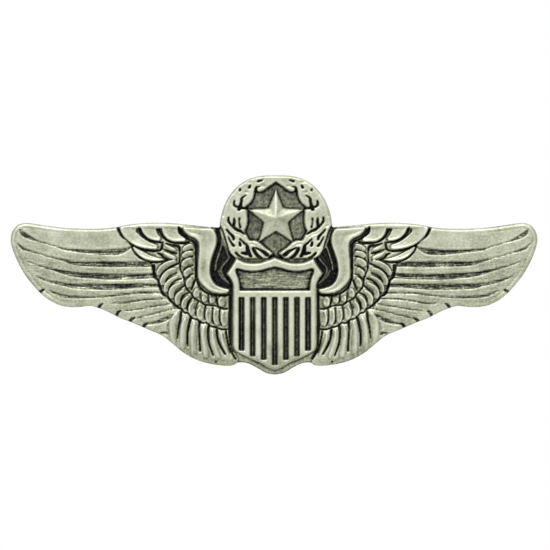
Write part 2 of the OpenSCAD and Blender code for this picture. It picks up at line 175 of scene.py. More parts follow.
def two_halves(half, about):
    """Inside distance for a left half that is closed by its mirror image."""
    return inside_distance(half + mirrored(half, about))


def shoulder(distance, width):
    """A quarter-round edge: 0 at the edge, 1 from `width` inwards."""
    return np.sqrt(1 - (1 - fade(distance, width)) ** 2)


def fade(distance, width):
    """The same as a straight ramp."""
    return np.clip(distance / width, 0, 1)


def band(field, middle, width):
    """A bell-shaped band where a field is near one value."""
    return np.exp(-((field - middle) / width) ** 2)


def blur(field, mm):
    """Soften a height field by a bell curve of that many millimetres."""
    r = int(3 * mm / pitch) + 1
    k = np.exp(-0.5 * (np.arange(-r, r + 1) * pitch / mm) ** 2)
    k /= k.sum()
    wide = np.pad(field, r, mode="edge")
    wide = sum(w * wide[:, i:i + field.shape[1]] for i, w in enumerate(k))
    return sum(w * wide[i:i + field.shape[0]] for i, w in enumerate(k))


# %% [markdown]
# ## Outlines
# The badge's outline is three shapes laid over each other: the wings, the
# shield and the wreath. Only the left half of each is drawn, and it is
# mirrored about its own centre line, as a die cutter's drawing is. The shield
# and the wreath sit a hair right of centre, as they do on the real badge.

# %% Outline guides
shield_x, wreath_x = 0.1, 0.25
wing_top = [
    [-6.9, 6.2], [-8.7, 6.35], [-11, 6.55], [-13.5, 6.8], [-16.2, 6.85], [-19, 6.65], [-21.5, 6.2],
    [-24.5, 6.05], [-28, 6.2], [-31, 6.6], [-33, 6.85], [-34.1, 6.55]]
wing_tip = [
    [-34.1, 6.55], [-34.75, 5.7], [-34.97, 4.5], [-34.6, 3], [-33.9, 1.4], [-33.1, 0], [-32.1, -1.3],
    [-31, -2.5], [-29.7, -3.5], [-28.2, -4.15], [-26.5, -4.35], [-24.3, -4.15]]
wing_low = [
    [-24.3, -4.15], [-22.5, -4.75], [-20.5, -5.75], [-18.7, -6.45], [-16.5, -7.4], [-14.8, -8.15],
    [-13.3, -9.35], [-12, -10.4], [-10.5, -11.25], [-9, -11.75], [-7.3, -12.05], [-5.6, -12.1],
    [-4.9, -11.7]]
wing_root = [[0, -11.5], [0, 6.2]]
shield_top = [[0, 2.35], [-1, 1.95], [-2, 1.65], [-3, 1.58], [-4, 1.72], [-5.15, 2.25]]
shield_ear = [[-5.15, 2.25], [-5.8, 1.15], [-6.5, 0.1]]
shield_side = [
    [-6.5, 0.1], [-6, -0.5], [-5.65, -1.3], [-5.6, -2.4], [-5.6, -9.4], [-5.4, -10.25], [-4.95, -11],
    [-4.85, -11.6]]
shield_foot = [[-4.85, -11.6], [-4.2, -11.65], [-3.2, -11.95], [-2.2, -12.5], [-1.1, -13.1], [0, -13.3]]
wreath_edge = [
    [0, 13.15], [-1.6, 13.12], [-3.2, 12.8], [-4.6, 12.1], [-5.6, 11.2], [-6.4, 10.1], [-7, 8.8],
    [-7.35, 7.5], [-7.45, 6.2], [-7.2, 5], [-6.6, 3.6], [-5.4, 2.2], [-4, 1.5]]


def joined(*lines):
    return [list(p) for line in lines for p in line]


def shifted(points, dx):
    return [[x + dx, y] for x, y in points]


wing_line = joined(smooth(wing_top), smooth(wing_tip), smooth(wing_low), wing_root)
shield_half = joined(smooth(shield_top), shield_ear, smooth(shield_side), smooth(shield_foot))
shield_half = shifted(shield_half, shield_x)
wreath_half = shifted(smooth(wreath_edge), wreath_x)

wing_in = both_sides(wing_line)
shield_in = two_halves(shield_half, shield_x)
wreath_in = inside_distance(wreath_half + [[0, 0]] + mirrored(wreath_half, wreath_x))
badge_in = np.maximum.reduce([wing_in, shield_in, wreath_in])
print("badge face, mm2:", round(float((badge_in > 0).sum()) * pitch ** 2))

# %% [markdown]
# ## Swept feathers
# Every feather, leaf and cut on the badge follows a line, so Geometry Nodes
# make them: a line is swept with a flat strip that narrows to round ends, and
# the strip is lifted in a section drawn on a Float Curve. `Lean` tips the
# strip towards one side, as shingled scales lie, and `Tip rise` lifts the far
# end. One tree serves them all, each family with its own section and sizes.

# %% Starting and closing a tree
def new_tree(name, given, numbers, made):
    """A Geometry Nodes tree with its sockets, and what its input node gives."""
    tree = bpy.data.node_groups.new(name, "GeometryNodeTree")
    tree.is_modifier = True
    socket = tree.interface.new_socket
    socket(given, in_out="INPUT", socket_type="NodeSocketGeometry")
    for label, value in numbers.items():
        kind = "NodeSocketInt" if isinstance(value, int) else "NodeSocketFloat"
        socket(label, in_out="INPUT", socket_type=kind).default_value = value
    socket("Metal", in_out="INPUT", socket_type="NodeSocketMaterial")
    socket(made, in_out="OUTPUT", socket_type="NodeSocketGeometry")
    return tree, node(tree, "NodeGroupInput").outputs


def close_tree(tree, geometry, metal):
    """Every tree ends alike: instances made real, and the material set."""
    solid = node(tree, "GeometryNodeRealizeInstances", {"Geometry": geometry})
    dressed = node(tree, "GeometryNodeSetMaterial", {"Geometry": solid, "Material": metal})
    node(tree, "NodeGroupOutput", {0: dressed})
    return tree


def stored(tree, geometry, name, value):
    return node(tree, "GeometryNodeStoreNamedAttribute", {"Geometry": geometry, "Name": name, "Value": value},
                data_type="FLOAT", domain="POINT")


def named(tree, name):
    return node(tree, "GeometryNodeInputNamedAttribute", {"Name": name}, data_type="FLOAT").outputs[0]

# %% Sweep tree
def sweep_tree(name, section):
    numbers = {"Step": 0.12, "Rise": 0.3, "Lean": 0.0, "Tip rise": 0.0, "Edge": 0.3, "Mirror line": 0.0}
    tree, given = new_tree(name, "Lines", numbers, "Relief")

    line = node(tree, "GeometryNodeResampleCurve",
                {"Curve": given["Lines"], "Length": given["Step"]}, mode="LENGTH")
    half = node(tree, "GeometryNodeInputRadius")
    run = node(tree, "GeometryNodeSplineParameter").outputs
    whole = node(tree, "GeometryNodeSplineLength").outputs
    ahead = calc(tree, "SUBTRACT", whole["Length"], run["Length"])
    near = calc(tree, "MINIMUM", ahead, run["Length"])
    left = calc(tree, "SUBTRACT", 1.0, calc(tree, "DIVIDE", near, half, clamp=True))
    rest = calc(tree, "SUBTRACT", 1.0, calc(tree, "MULTIPLY", left, left))
    width = calc(tree, "MULTIPLY", calc(tree, "SQRT", rest), half)      # round ends
    kept = stored(tree, line, "width", width)
    kept = stored(tree, kept, "along", run["Factor"])
    wide = named(tree, "width")
    sized = node(tree, "GeometryNodeSetCurveRadius", {"Curve": kept, "Radius": wide})
    flat = node(tree, "GeometryNodeSetCurveNormal", {"Curve": sized}, mode="Z_UP")

    strip = node(tree, "GeometryNodeCurvePrimitiveLine", {"Start": (-1, 0, 0), "End": (1, 0, 0)})
    strip = node(tree, "GeometryNodeResampleCurve", {"Curve": strip, "Count": 15}, mode="COUNT")
    place = node(tree, "ShaderNodeSeparateXYZ", {0: node(tree, "GeometryNodeInputPosition")})
    strip = stored(tree, strip, "across", place)
    swept = node(tree, "GeometryNodeCurveToMesh", {"Curve": flat, "Profile Curve": strip, "Scale": wide})

    across, along = named(tree, "across"), named(tree, "along")
    inner = calc(tree, "SUBTRACT", 1.0, calc(tree, "ABSOLUTE", across))
    depth_in = calc(tree, "MULTIPLY", inner, wide)
    share = calc(tree, "DIVIDE", depth_in, given["Edge"], clamp=True)
    shape = node(tree, "ShaderNodeFloatCurve", {"Value": share})
    points = shape.mapping.curves[0].points
    for point, place in zip(points, section):
        point.location = place
    for place in section[2:]:
        points.new(*place)
    shape.mapping.update()
    lean = calc(tree, "MULTIPLY", across, given["Lean"])
    lift = calc(tree, "MULTIPLY", calc(tree, "SUBTRACT", along, 0.5), given["Tip rise"])
    tall = calc(tree, "ADD", calc(tree, "ADD", given["Rise"], lean), lift)
    up = node(tree, "ShaderNodeCombineXYZ", {2: calc(tree, "MULTIPLY", tall, shape)})
    lifted = node(tree, "GeometryNodeSetPosition", {"Geometry": swept, "Offset": up})

    to = node(tree, "ShaderNodeCombineXYZ", {0: calc(tree, "MULTIPLY", given["Mirror line"], 2.0)})
    other = node(tree, "GeometryNodeTransform", {"Geometry": lifted, "Translation": to, "Scale": (-1, 1, 1)})
    pair = node(tree, "GeometryNodeJoinGeometry", {0: other})
    tree.links.new(lifted.outputs[0], pair.inputs[0])
    return close_tree(tree, pair, given["Metal"])


# each section: (share of the edge width, share of the height), ends first
sections = {"domed feather": ((0, 0), (1, 1), (0.15, 0.53), (0.4, 0.8), (0.7, 0.954)),
            "crested feather": ((0, 0), (1, 0.9), (0.25, 0.75), (0.5, 1.0), (0.75, 0.96)),
            "engraved cut": ((0, 0), (1, 1), (0.3, 0.45), (0.6, 0.85))}
trees = {name: sweep_tree(name, section) for name, section in sections.items()}
print("sweep trees:", sorted(trees))

# %% [markdown]
# ## Pressing
# A family of lines is pressed in one go. Its guide curve is swept by the
# tree's modifier, and the finished mesh is read back as heights at the bench
# points, by rays that fall on it. Raised families keep the higher of old and
# new, so neighbours meet in valleys; cuts are taken off.

# %% Press a family of swept lines into the bench
finest = 0.02                                  # mm, the narrowest half width


def set_inputs(modifier, values):
    for item in modifier.node_group.interface.items_tree:
        if item.in_out == "INPUT" and item.name in values:
            modifier[item.identifier] = values[item.name]


def guide_lines(name, lines):
    """An object of poly lines, each a list of (x, y, radius)."""
    data = bpy.data.curves.new(name, "CURVE")
    data.dimensions = "3D"
    for line in lines:
        spline = data.splines.new("POLY")
        spline.points.add(len(line) - 1)
        for point, (x, y, radius) in zip(spline.points, line):
            point.co = (x, y, 0, 1)
            point.radius = radius
    guide = bpy.data.objects.new(name, data)
    bpy.context.scene.collection.objects.link(guide)
    return guide


def taken(maker):
    """The mesh that an object's modifiers make, as points and faces; the object goes."""
    mesh = bpy.data.meshes.new_from_object(maker.evaluated_get(bpy.context.evaluated_depsgraph_get()))
    points = [tuple(v.co) for v in mesh.vertices]
    faces = [tuple(p.vertices) for p in mesh.polygons]
    bpy.data.objects.remove(maker)
    bpy.data.meshes.remove(mesh)
    return points, faces


def press(name, tree, strokes, **sizes):
    """Sweep the strokes and read their height back at every bench point."""
    lines = []
    for points, halves in strokes:
        line = smooth(points)
        wide = np.full(len(line), halves) if np.isscalar(halves) else smooth([[h, 0] for h in halves])[:, 0]
        lines.append([(x, y, max(float(h), finest)) for (x, y), h in zip(line, wide)])
    guide = guide_lines(name, lines)
    sweep = guide.modifiers.new(name, "NODES")
    sweep.node_group = trees[tree]
    set_inputs(sweep, {label.replace("_", " ").capitalize(): value for label, value in sizes.items()})
    points, faces = taken(guide)
    sheet = BVHTree.FromPolygons(points, faces)
    low, high = np.min(points, 0), np.max(points, 0)
    field = np.full(X.shape, np.nan)
    down = Vector((0, 0, -1))
    for j in range(*np.searchsorted(ys, [low[1], high[1]])):
        for i in range(*np.searchsorted(xs, [low[0], high[0]])):
            if badge_in[j, i] > -0.2:
                hit = sheet.ray_cast(Vector((xs[i], ys[j], 9)), down)
                if hit[0] is not None:
                    field[j, i] = hit[0].z
    print(f"{name}: {len(strokes)} lines, {len(faces)} faces, {np.isfinite(field).sum()} points")
    return field


def raise_to(ground, base, field):
    return np.where(np.isfinite(field), np.maximum(ground, base + field), ground)


def cut_by(ground, field):
    return np.where(np.isfinite(field), ground - np.clip(field, 0, None), ground)


# %% [markdown]
# ## Flight feathers
# The outer half of each wing is long flight feathers: smooth bright bands
# between rough dark channels, inside a thin rim. They could be one sweep per
# feather, but on the real badge they are a level field with channels struck
# into it, so a field is raised and the channels are swept as cuts. A fine
# ridge runs beside each of the upper six channels, and short notches part
# the feather tips along the lower edge.

# %% Flight field
plate, flight, scale_ground = 1.0, 1.6, 1.4    # mm above the back
scale_top, covert_top, arm_top = 1.85, 1.95, 2.15
flight_edge = [
    [-21, 7.5], [-20.9, 6.2], [-20.3, 5], [-19.1, 4.05], [-18.7, 3.2], [-17.8, 2.2], [-16.5, 1.6],
    [-16.1, 0.4], [-15.5, -0.8], [-15, -2.3], [-14.2, -3.1], [-13.4, -4.1], [-13.2, -5], [-14.1, -6.4],
    [-14.3, -7.6], [-14, -9.5]]
channels = [
    ([[-33.78, 6.1], [-33.4, 5.5], [-32.6, 4.98], [-31.3, 4.42], [-29, 3.75], [-27.5, 3.3], [-24, 3],
      [-22, 2.95], [-20.5, 3.05], [-19.3, 3.45], [-18.9, 3.8]],
      [0.06, 0.32, 0.3, 0.14, 0.12, 0.18, 0.3, 0.42, 0.45, 0.2, 0.1]),
    ([[-34.1, 4.2], [-33.3, 3.45], [-32, 3], [-30, 2.4], [-28, 1.9], [-26, 1.45], [-22, 1.35],
      [-16.1, 1.35]], [0.1, 0.2, 0.14, 0.12, 0.18, 0.32, 0.42, 0.4]),
    ([[-32.8, 1.75], [-31, 1.1], [-29, 0.6], [-28, 0.3], [-26, -0.05], [-23, -0.25], [-20, -0.3],
      [-15.5, -0.15]], [0.1, 0.13, 0.2, 0.28, 0.38, 0.42, 0.42, 0.38]),
    ([[-31.7, -0.2], [-30, -0.85], [-27.5, -1.35], [-26, -1.58], [-21, -1.62], [-18, -1.5],
      [-15.1, -1.45]], [0.1, 0.2, 0.3, 0.4, 0.45, 0.35, 0.3]),
    ([[-29.9, -2.1], [-28, -2.85], [-26, -3], [-23, -3], [-18, -2.45], [-14.7, -2.45]],
      [0.1, 0.22, 0.18, 0.14, 0.17, 0.2]),
    ([[-21.6, -3.85], [-20, -3.8], [-18, -3.45], [-16, -3.25], [-14, -3.2]], 0.15),
    ([[-19.8, -4.8], [-18, -4.6], [-16, -4.25], [-13.6, -3.9]], 0.15),
    ([[-18.2, -5.75], [-16.6, -5.4], [-14.8, -4.9], [-13, -4.5]], 0.14),
    ([[-17.2, -6.6], [-15.8, -6.4], [-14.4, -5.9], [-13.2, -5.2]], [0.12, 0.25, 0.32, 0.1]),
    ([[-15.2, -7.75], [-14.5, -7.75], [-14, -7.95]], [0.1, 0.22, 0.45])]
notch_halves = [0.24, 0.2, 0.08]
notch_lines = [
    [[-31.3, -2.5], [-30.9, -2.2], [-30.4, -1.95]], [[-23.4, -4.6], [-23.1, -4.1], [-22.6, -3.8]],
    [[-21, -5.6], [-20.7, -5.05], [-20.2, -4.75]], [[-19.3, -6.4], [-18.9, -5.95], [-18.3, -5.7]],
    [[-17.5, -7.2], [-17.1, -6.65], [-16.6, -6.4]]]
notches = [(line, notch_halves) for line in notch_lines]
ridge_gap = 0.16                               # mm from a channel's edge
ridges = []
for line, wide in channels[:6]:
    halves = [wide] * len(line) if np.isscalar(wide) else wide
    ridges.append(([[x, y + w + ridge_gap] for (x, y), w in zip(line, halves)], 0.15))

flight_cell = both_sides(joined(smooth(flight_edge), [[-40, -9.5], [-40, 7.5]]))
land = np.where(flight_cell > 0, flight, scale_ground)
tip_zone = fade(outward - 27.0, 3) * fade(7.2 - Y, 1.5)
rim_height = 0.035
land = land + tip_zone * rim_height * (band(wing_in, 0.38, 0.13) - band(wing_in, 0.62, 0.1))
land = raise_to(land, flight - 0.06, press("fine ridges", "domed feather", ridges, rise=0.08, edge=0.15))
channel_cut = press("channels", "engraved cut", channels, rise=0.2, edge=0.3)
land = cut_by(land, channel_cut)
notch_cut = press("notches", "engraved cut", notches, rise=0.2, edge=0.12)
land = cut_by(land, notch_cut)

# %% [markdown]
# ## Coverts and scales
# Nearer the body the wing is shingled with small plump feathers. Each is
# swept from its root outwards, with a high bright outer edge. Every feather
# is a list of points along it, and its half width there.

# %% Small feathers
coverts = [
    ([[-19.5, 7.4], [-19.2, 5.45], [-18.35, 4.65], [-17.2, 4.05], [-16.2, 3.75], [-15.35, 3.6]],
      [1.35, 1.1, 0.9, 0.66, 0.5, 0.4]),
    ([[-16.75, 7.4], [-16.5, 5.8], [-16, 5.2], [-15.5, 4.85], [-14.95, 4.65]],
      [1.25, 1.1, 0.8, 0.5, 0.35]),
    ([[-13.95, 7.4], [-13.7, 5.8], [-13.2, 5.1], [-12.5, 4.8], [-11.6, 4.6]],
      [1.3, 1.2, 0.9, 0.55, 0.35]),
    ([[-18.75, 3.75], [-18.2, 3.1], [-17.4, 2.6], [-16.4, 2.2], [-15.4, 1.98], [-14.5, 1.95]],
      [0.25, 0.45, 0.5, 0.42, 0.32, 0.2])]
covert_leaves = [
    ([[-12.9, 3.15], [-13.8, 3.55], [-14.7, 4.1]], [0.25, 0.36, 0.14]),
    ([[-12.9, 2.1], [-13.9, 2.5], [-14.85, 3.05]], [0.3, 0.4, 0.14])]
inner_scales = [
    ([[-10.6, 3.75], [-11.4, 3.6], [-12.15, 3.1]], 0.45),
    ([[-10.6, 2.8], [-11.5, 2.7], [-12.15, 2.2]], 0.46),
    ([[-10.7, 1.9], [-11.6, 1.7], [-12.1, 0.95]], 0.5),
    ([[-10.8, 0.65], [-11.5, 0.4], [-11.85, -0.35]], 0.46),
    ([[-10.7, -0.55], [-11.25, -1], [-11.25, -1.8]], 0.48),
    ([[-9.8, -1.95], [-10.3, -2.4], [-10.2, -3.1]], 0.48),
    ([[-9.1, -2.75], [-9.25, -3.2], [-9.05, -3.7]], 0.42),
    ([[-8.15, -2.9], [-8.2, -3.4], [-8.1, -3.9]], 0.45),
    ([[-6.6, -2.9], [-6.95, -3.5], [-6.8, -4.35]], [0.4, 0.55, 0.45])]
outer_scales = [
    ([[-12.9, 1.75], [-14.1, 1.35], [-15, 0.65], [-15.4, -0.25]], [0.3, 0.45, 0.5, 0.4]),
    ([[-12.8, 0.75], [-14, 0.3], [-14.75, -0.7], [-14.75, -1.5]], [0.3, 0.42, 0.45, 0.4]),
    ([[-12.6, -0.25], [-13.6, -0.75], [-14.25, -1.6], [-14.3, -2.5]], [0.2, 0.35, 0.42, 0.35]),
    ([[-12.2, -1.15], [-13.2, -1.7], [-13.6, -2.4], [-13.5, -3.3]], [0.25, 0.4, 0.46, 0.36]),
    ([[-11.8, -2.15], [-12.5, -2.6], [-12.8, -3.2], [-12.7, -4.1]], [0.25, 0.4, 0.45, 0.36]),
    ([[-11.1, -2.9], [-11.7, -3.35], [-11.95, -4], [-11.85, -4.6]], [0.25, 0.38, 0.42, 0.35]),
    ([[-10.5, -3.5], [-10.9, -4.1], [-11, -4.8], [-10.75, -5.5]], [0.25, 0.4, 0.45, 0.36]),
    ([[-9.6, -4.1], [-9.85, -4.75], [-9.85, -5.4], [-9.5, -6.1]], [0.25, 0.4, 0.45, 0.34]),
    ([[-8.6, -4.4], [-8.75, -5.1], [-8.7, -5.8], [-8.45, -6.5]], [0.25, 0.38, 0.42, 0.34]),
    ([[-7.65, -4.6], [-7.75, -5.3], [-7.65, -6.1], [-7.3, -6.8]], [0.25, 0.38, 0.42, 0.34]),
    ([[-6.55, -4.8], [-6.65, -5.5], [-6.6, -6.3], [-6.45, -6.95]], [0.3, 0.45, 0.5, 0.4])]
hanging_feathers = [
    ([[-12.7, -4.9], [-13.3, -6], [-13.45, -7.2], [-13.2, -9.4]], [0.35, 0.6, 0.62, 0.5]),
    ([[-11.6, -5.6], [-12, -6.7], [-12.1, -8], [-12.1, -10]], [0.35, 0.5, 0.55, 0.6]),
    ([[-10.4, -6.1], [-10.7, -7.2], [-10.7, -8.6], [-10.6, -10.9]], [0.35, 0.5, 0.55, 0.6]),
    ([[-9.2, -6.7], [-9.4, -7.8], [-9.2, -9.2], [-8.9, -11.2]], [0.35, 0.5, 0.5, 0.6]),
    ([[-8.1, -7.2], [-8.1, -8.3], [-7.8, -9.5], [-7.2, -11.2]], [0.3, 0.42, 0.46, 0.45]),
    ([[-7, -7.6], [-6.85, -8.6], [-6.5, -9.6], [-5.9, -11]], [0.25, 0.42, 0.42, 0.3])]
print("small feathers:", len(coverts + covert_leaves + inner_scales + outer_scales + hanging_feathers))

# %% [markdown]
# ## Lines between the feathers
# Where one feather lies over the next the die has a deep narrow line. Those
# lines do most of the drawing on the real badge, so they are swept too, as
# cuts: round each covert, between the scales, along both rows of scales,
# and between the hanging feathers.

# %% Feather lines
feather_lines = [
    ([[-20.8, 6.25], [-20.4, 5.6], [-20, 5], [-19.4, 4.4], [-18.9, 4], [-18.2, 3.6], [-17.4, 3.3],
      [-16.4, 3.15], [-15.6, 3.12], [-15.05, 3.3], [-14.85, 3.8], [-14.9, 4.2]],
      [0.12, 0.15, 0.15, 0.12, 0.17, 0.14, 0.14, 0.15, 0.16, 0.2, 0.2, 0.12]),
    ([[-17.95, 6.35], [-17.65, 5.6], [-17.1, 5], [-16.6, 4.65], [-15.9, 4.4], [-15.1, 4.27],
      [-14.6, 4.25]], [0.1, 0.24, 0.2, 0.15, 0.13, 0.14, 0.12]),
    ([[-15.35, 6.05], [-14.95, 5.4], [-14.5, 4.8], [-13.9, 4.4], [-13.2, 4.18], [-12.4, 4.15],
      [-11.6, 4.2], [-11.1, 4.4]], [0.12, 0.14, 0.17, 0.17, 0.15, 0.16, 0.15, 0.2]),
    ([[-12.7, 6.4], [-12.4, 5.7], [-11.85, 5.05], [-11.3, 4.65], [-10.7, 4.4], [-10.35, 4],
      [-10.25, 3.4]], [0.14, 0.3, 0.22, 0.14, 0.2, 0.15, 0.14]),
    ([[-18.95, 3.9], [-18.65, 3.2], [-18, 2.45], [-17.2, 1.92], [-16.3, 1.62], [-15.4, 1.66],
      [-14.6, 1.8], [-14, 1.9]], [0.14, 0.15, 0.16, 0.14, 0.14, 0.13, 0.12, 0.1]),
    ([[-15.6, 2.9], [-15, 2.65], [-14.6, 2.2], [-13.9, 1.9]], [0.1, 0.2, 0.15, 0.1]),
    ([[-15.2, 3.55], [-14.4, 3.25], [-13.6, 2.92], [-12.8, 2.8]], [0.1, 0.12, 0.13, 0.16]),
    ([[-14.5, 4.15], [-13.6, 3.9], [-12.7, 3.75], [-12.5, 3], [-12.5, 2.2], [-12.5, 1.5], [-12.4, 0.6],
      [-12.15, 0.2]], [0.1, 0.16, 0.24, 0.13, 0.13, 0.16, 0.12, 0.14]),
    ([[-12.6, 1.5], [-13.5, 1.1], [-14.3, 0.6], [-14.9, 0.05], [-15.15, -0.5]],
      [0.16, 0.12, 0.11, 0.12, 0.1]),
    ([[-12.8, 0.25], [-13.6, -0.12], [-14.2, -0.6], [-14.5, -1.2]], [0.12, 0.09, 0.08, 0.06]),
    ([[-12.2, -0.5], [-13, -0.8], [-13.6, -1.3], [-13.95, -1.9], [-14.05, -2.6]],
      [0.16, 0.1, 0.09, 0.09, 0.1]),
    ([[-11.8, -1.4], [-12.4, -1.85], [-12.95, -2.4], [-13.15, -3]], [0.14, 0.11, 0.09, 0.06]),
    ([[-11.2, -2.4], [-11.9, -2.7], [-12.25, -3.2], [-12.4, -3.7]], [0.12, 0.11, 0.11, 0.07]),
    ([[-10.8, -3], [-11.3, -3.6], [-11.5, -4.2], [-11.45, -4.9]], [0.14, 0.13, 0.12, 0.13]),
    ([[-10, -3.5], [-10.3, -4.2], [-10.4, -4.9], [-10.35, -5.6]], [0.14, 0.1, 0.1, 0.1]),
    ([[-9.05, -4], [-9.2, -4.7], [-9.25, -5.4], [-9.1, -6.1]], [0.14, 0.13, 0.11, 0.1]),
    ([[-8.1, -4.3], [-8.2, -5.1], [-8.2, -5.9], [-8, -6.7]], [0.13, 0.1, 0.1, 0.1]),
    ([[-7.15, -4.5], [-7.25, -5.4], [-7.15, -6.2], [-6.85, -6.9]], [0.13, 0.1, 0.1, 0.1]),
    ([[-16, 1.4], [-15.95, 0.4], [-15.85, -0.3], [-15.4, -0.75], [-15.2, -1.3], [-14.95, -2.2],
      [-14.6, -2.75], [-14.1, -2.95], [-13.75, -3.45], [-13.2, -3.95], [-12.7, -4.4], [-12.3, -4.6],
      [-11.9, -5.05], [-11.4, -5.15], [-10.8, -5.8], [-10.1, -6.02], [-9.5, -6.45], [-9, -6.4],
      [-8.4, -6.85], [-7.8, -7], [-7, -7.27], [-6, -7.27]],
      [0.3, 0.26, 0.2, 0.15, 0.2, 0.2, 0.16, 0.14, 0.13, 0.13, 0.13, 0.13, 0.14, 0.13, 0.12, 0.12, 0.13,
       0.12, 0.13, 0.14, 0.14, 0.14]),
    ([[-12.2, 0.3], [-11.95, -0.5], [-11.85, -1.2], [-11.6, -1.9], [-11, -2.5], [-10.65, -3.1],
      [-10, -3.5], [-9.6, -3.68], [-9.2, -4], [-8.6, -4.08], [-7.9, -4.15], [-7.3, -4.3], [-6.8, -4.55],
      [-6, -4.6]], [0.14, 0.14, 0.12, 0.13, 0.13, 0.13, 0.12, 0.14, 0.12, 0.14, 0.12, 0.13, 0.13, 0.14]),
    ([[-12.4, 2.75], [-11.8, 3.05], [-11.2, 3.2], [-10.6, 3.3]], 0.09),
    ([[-12.4, 1.75], [-11.8, 2.1], [-11.2, 2.3], [-10.6, 2.45]], 0.1),
    ([[-12.2, 0.45], [-11.7, 0.75], [-11.2, 1.05], [-10.6, 1.3]], 0.11),
    ([[-11.95, -0.75], [-11.5, -0.4], [-11.1, -0.05], [-10.6, 0.1]], 0.1),
    ([[-11.1, -2.2], [-10.8, -1.6], [-10.6, -1], [-10.4, -0.6]], [0.1, 0.13, 0.17, 0.13]),
    ([[-9.7, -2.2], [-9.72, -3], [-9.7, -3.6]], 0.09),
    ([[-8.72, -2.6], [-8.68, -3.3], [-8.65, -4]], [0.12, 0.1, 0.1]),
    ([[-7.65, -2.8], [-7.6, -3.5], [-7.4, -4.2]], [0.1, 0.13, 0.13]),
    ([[-10.4, 4], [-10.33, 2.5], [-10.35, 1], [-10.35, -0.2], [-10.15, -1], [-9.7, -1.85], [-8.9, -2.45],
      [-7.8, -2.78], [-6.4, -2.78], [-5.7, -2.6]],
      [0.18, 0.17, 0.17, 0.18, 0.16, 0.15, 0.14, 0.14, 0.15, 0.16]),
    ([[-12.3, -4.8], [-12.45, -6], [-12.7, -7.2], [-12.8, -8.6]], [0.2, 0.2, 0.14, 0.08]),
    ([[-11, -5.6], [-11.3, -6.7], [-11.5, -8], [-11.45, -9.6]], [0.25, 0.22, 0.18, 0.12]),
    ([[-9.85, -6.2], [-9.98, -7.2], [-9.9, -8.5], [-9.8, -10.3]], [0.25, 0.17, 0.13, 0.15]),
    ([[-8.65, -6.7], [-8.75, -7.8], [-8.6, -9.2], [-8, -10.9]], [0.2, 0.2, 0.17, 0.12]),
    ([[-7.6, -7.2], [-7.5, -8.4], [-7.1, -9.5], [-6.4, -10.7]], [0.2, 0.2, 0.18, 0.14]),
    ([[-6.4, -7.4], [-6.25, -8.4], [-5.95, -9.7], [-5.65, -10.5]], [0.15, 0.15, 0.15, 0.12]),
    ([[-5.8, -2.7], [-5.85, -5], [-5.85, -7.3], [-5.8, -9.4], [-5.55, -10.4], [-5, -11.3]],
      [0.2, 0.2, 0.24, 0.2, 0.18, 0.16]), ([[-7.9, -11.75], [-7.6, -11.5]], 0.14)]
drawn_share = 0.76                             # the cuts are this much narrower than drawn
feather_lines = [(line, np.multiply(drawn_share, wide)) for line, wide in feather_lines]
print("feather lines:", len(feather_lines))

# %% Raise the small feathers and cut the lines
hang_top = -4.6                                # the hanging feathers start below this y
land = np.where((flight_cell < 0) & (Y < hang_top), flight - 0.05, land)
covert_rise, scale_rise = covert_top - plate - 0.1, scale_top - plate - 0.1
land = raise_to(land, plate, press("coverts", "crested feather", coverts,
                                   rise=covert_rise, lean=0.08, edge=0.34))
# along the top edge the coverts run together
brow = fade(Y - 5.75, 0.5) * fade(20.6 - outward, 0.4) * fade(outward - 8, 0.4)
land = np.maximum(land, plate + brow * (covert_top - plate - 0.08))
land = raise_to(land, plate, press("covert leaves", "domed feather", covert_leaves, rise=0.75, edge=0.28))
land = raise_to(land, plate, press("scales", "crested feather", inner_scales + outer_scales,
                                   rise=scale_rise, lean=0.26, edge=0.26, tip_rise=0.25))
land = raise_to(land, plate, press("hanging feathers", "domed feather", hanging_feathers,
                                   rise=0.74, lean=0.12, edge=0.4))
line_depth = 0.55
feather_cut = press("feather lines", "engraved cut", feather_lines, rise=line_depth, edge=0.13)
land = cut_by(land, feather_cut)

# %% [markdown]
# ## Wing arms
# A smooth arm runs from each shoulder down to the shield. Its edges are
# rounded and bright, and its middle is slightly dished. Between the arms and
# the shield the plate is left low, with fine raised lines, and it holds the
# black of the antiquing.

# %% Arms and web
arm_left = [
    [-12.35, 6.45], [-12, 5.7], [-11.3, 5.05], [-10.5, 4.7], [-10.1, 4.2], [-10.05, 3.3], [-10.15, 1.8],
    [-10.22, 0.2], [-10, -0.85], [-9.3, -1.7], [-8.4, -2.35], [-7.3, -2.6], [-6.2, -2.55], [-5.8, -2.2]]
arm_right = [
    [-5.85, -1.85], [-6.8, -1.65], [-7.6, -1.3], [-8.15, -0.6], [-8.4, 0.4], [-8.3, 1.6], [-7.95, 2.8],
    [-7.6, 3.8], [-7.5, 4.8], [-7.75, 5.7], [-8.3, 6.15], [-10.5, 6.3], [-12.35, 6.45]]
web_lines = [
    ([[-7.2, 6], [-6.9, 4.5], [-7.1, 3.4], [-7.5, 2.2], [-7.75, 1.2], [-7.8, 0.4]], 0.17),
    ([[-6.9, 4.4], [-6.4, 3.4], [-6.1, 2.6], [-5.9, 2.3], [-6.3, 1.7], [-6.9, 1], [-7, 0.4], [-6.6, -0.4],
      [-5.8, -1.4]], 0.17), ([[-7.5, 0.6], [-7.2, 0], [-6.8, -0.6], [-6.2, -1.1]], 0.12)]
arm_in = both_sides(joined(smooth(arm_left), smooth(arm_right)))
web_in = both_sides(joined(smooth(arm_right[:10]), [[-7.8, 6.6], [-4, 6.6], [-4, -1.9]]))
land = np.where((web_in > 0) & (wreath_in < 0), plate, land)
land = raise_to(land, plate, press("web lines", "domed feather", web_lines, rise=0.3, edge=0.16))
arm = plate + (arm_top - plate) * shoulder(arm_in, 0.24) - 0.14 * fade(arm_in - 0.25, 0.7)
land = np.where(arm_in > 0, np.maximum(land, arm), land)

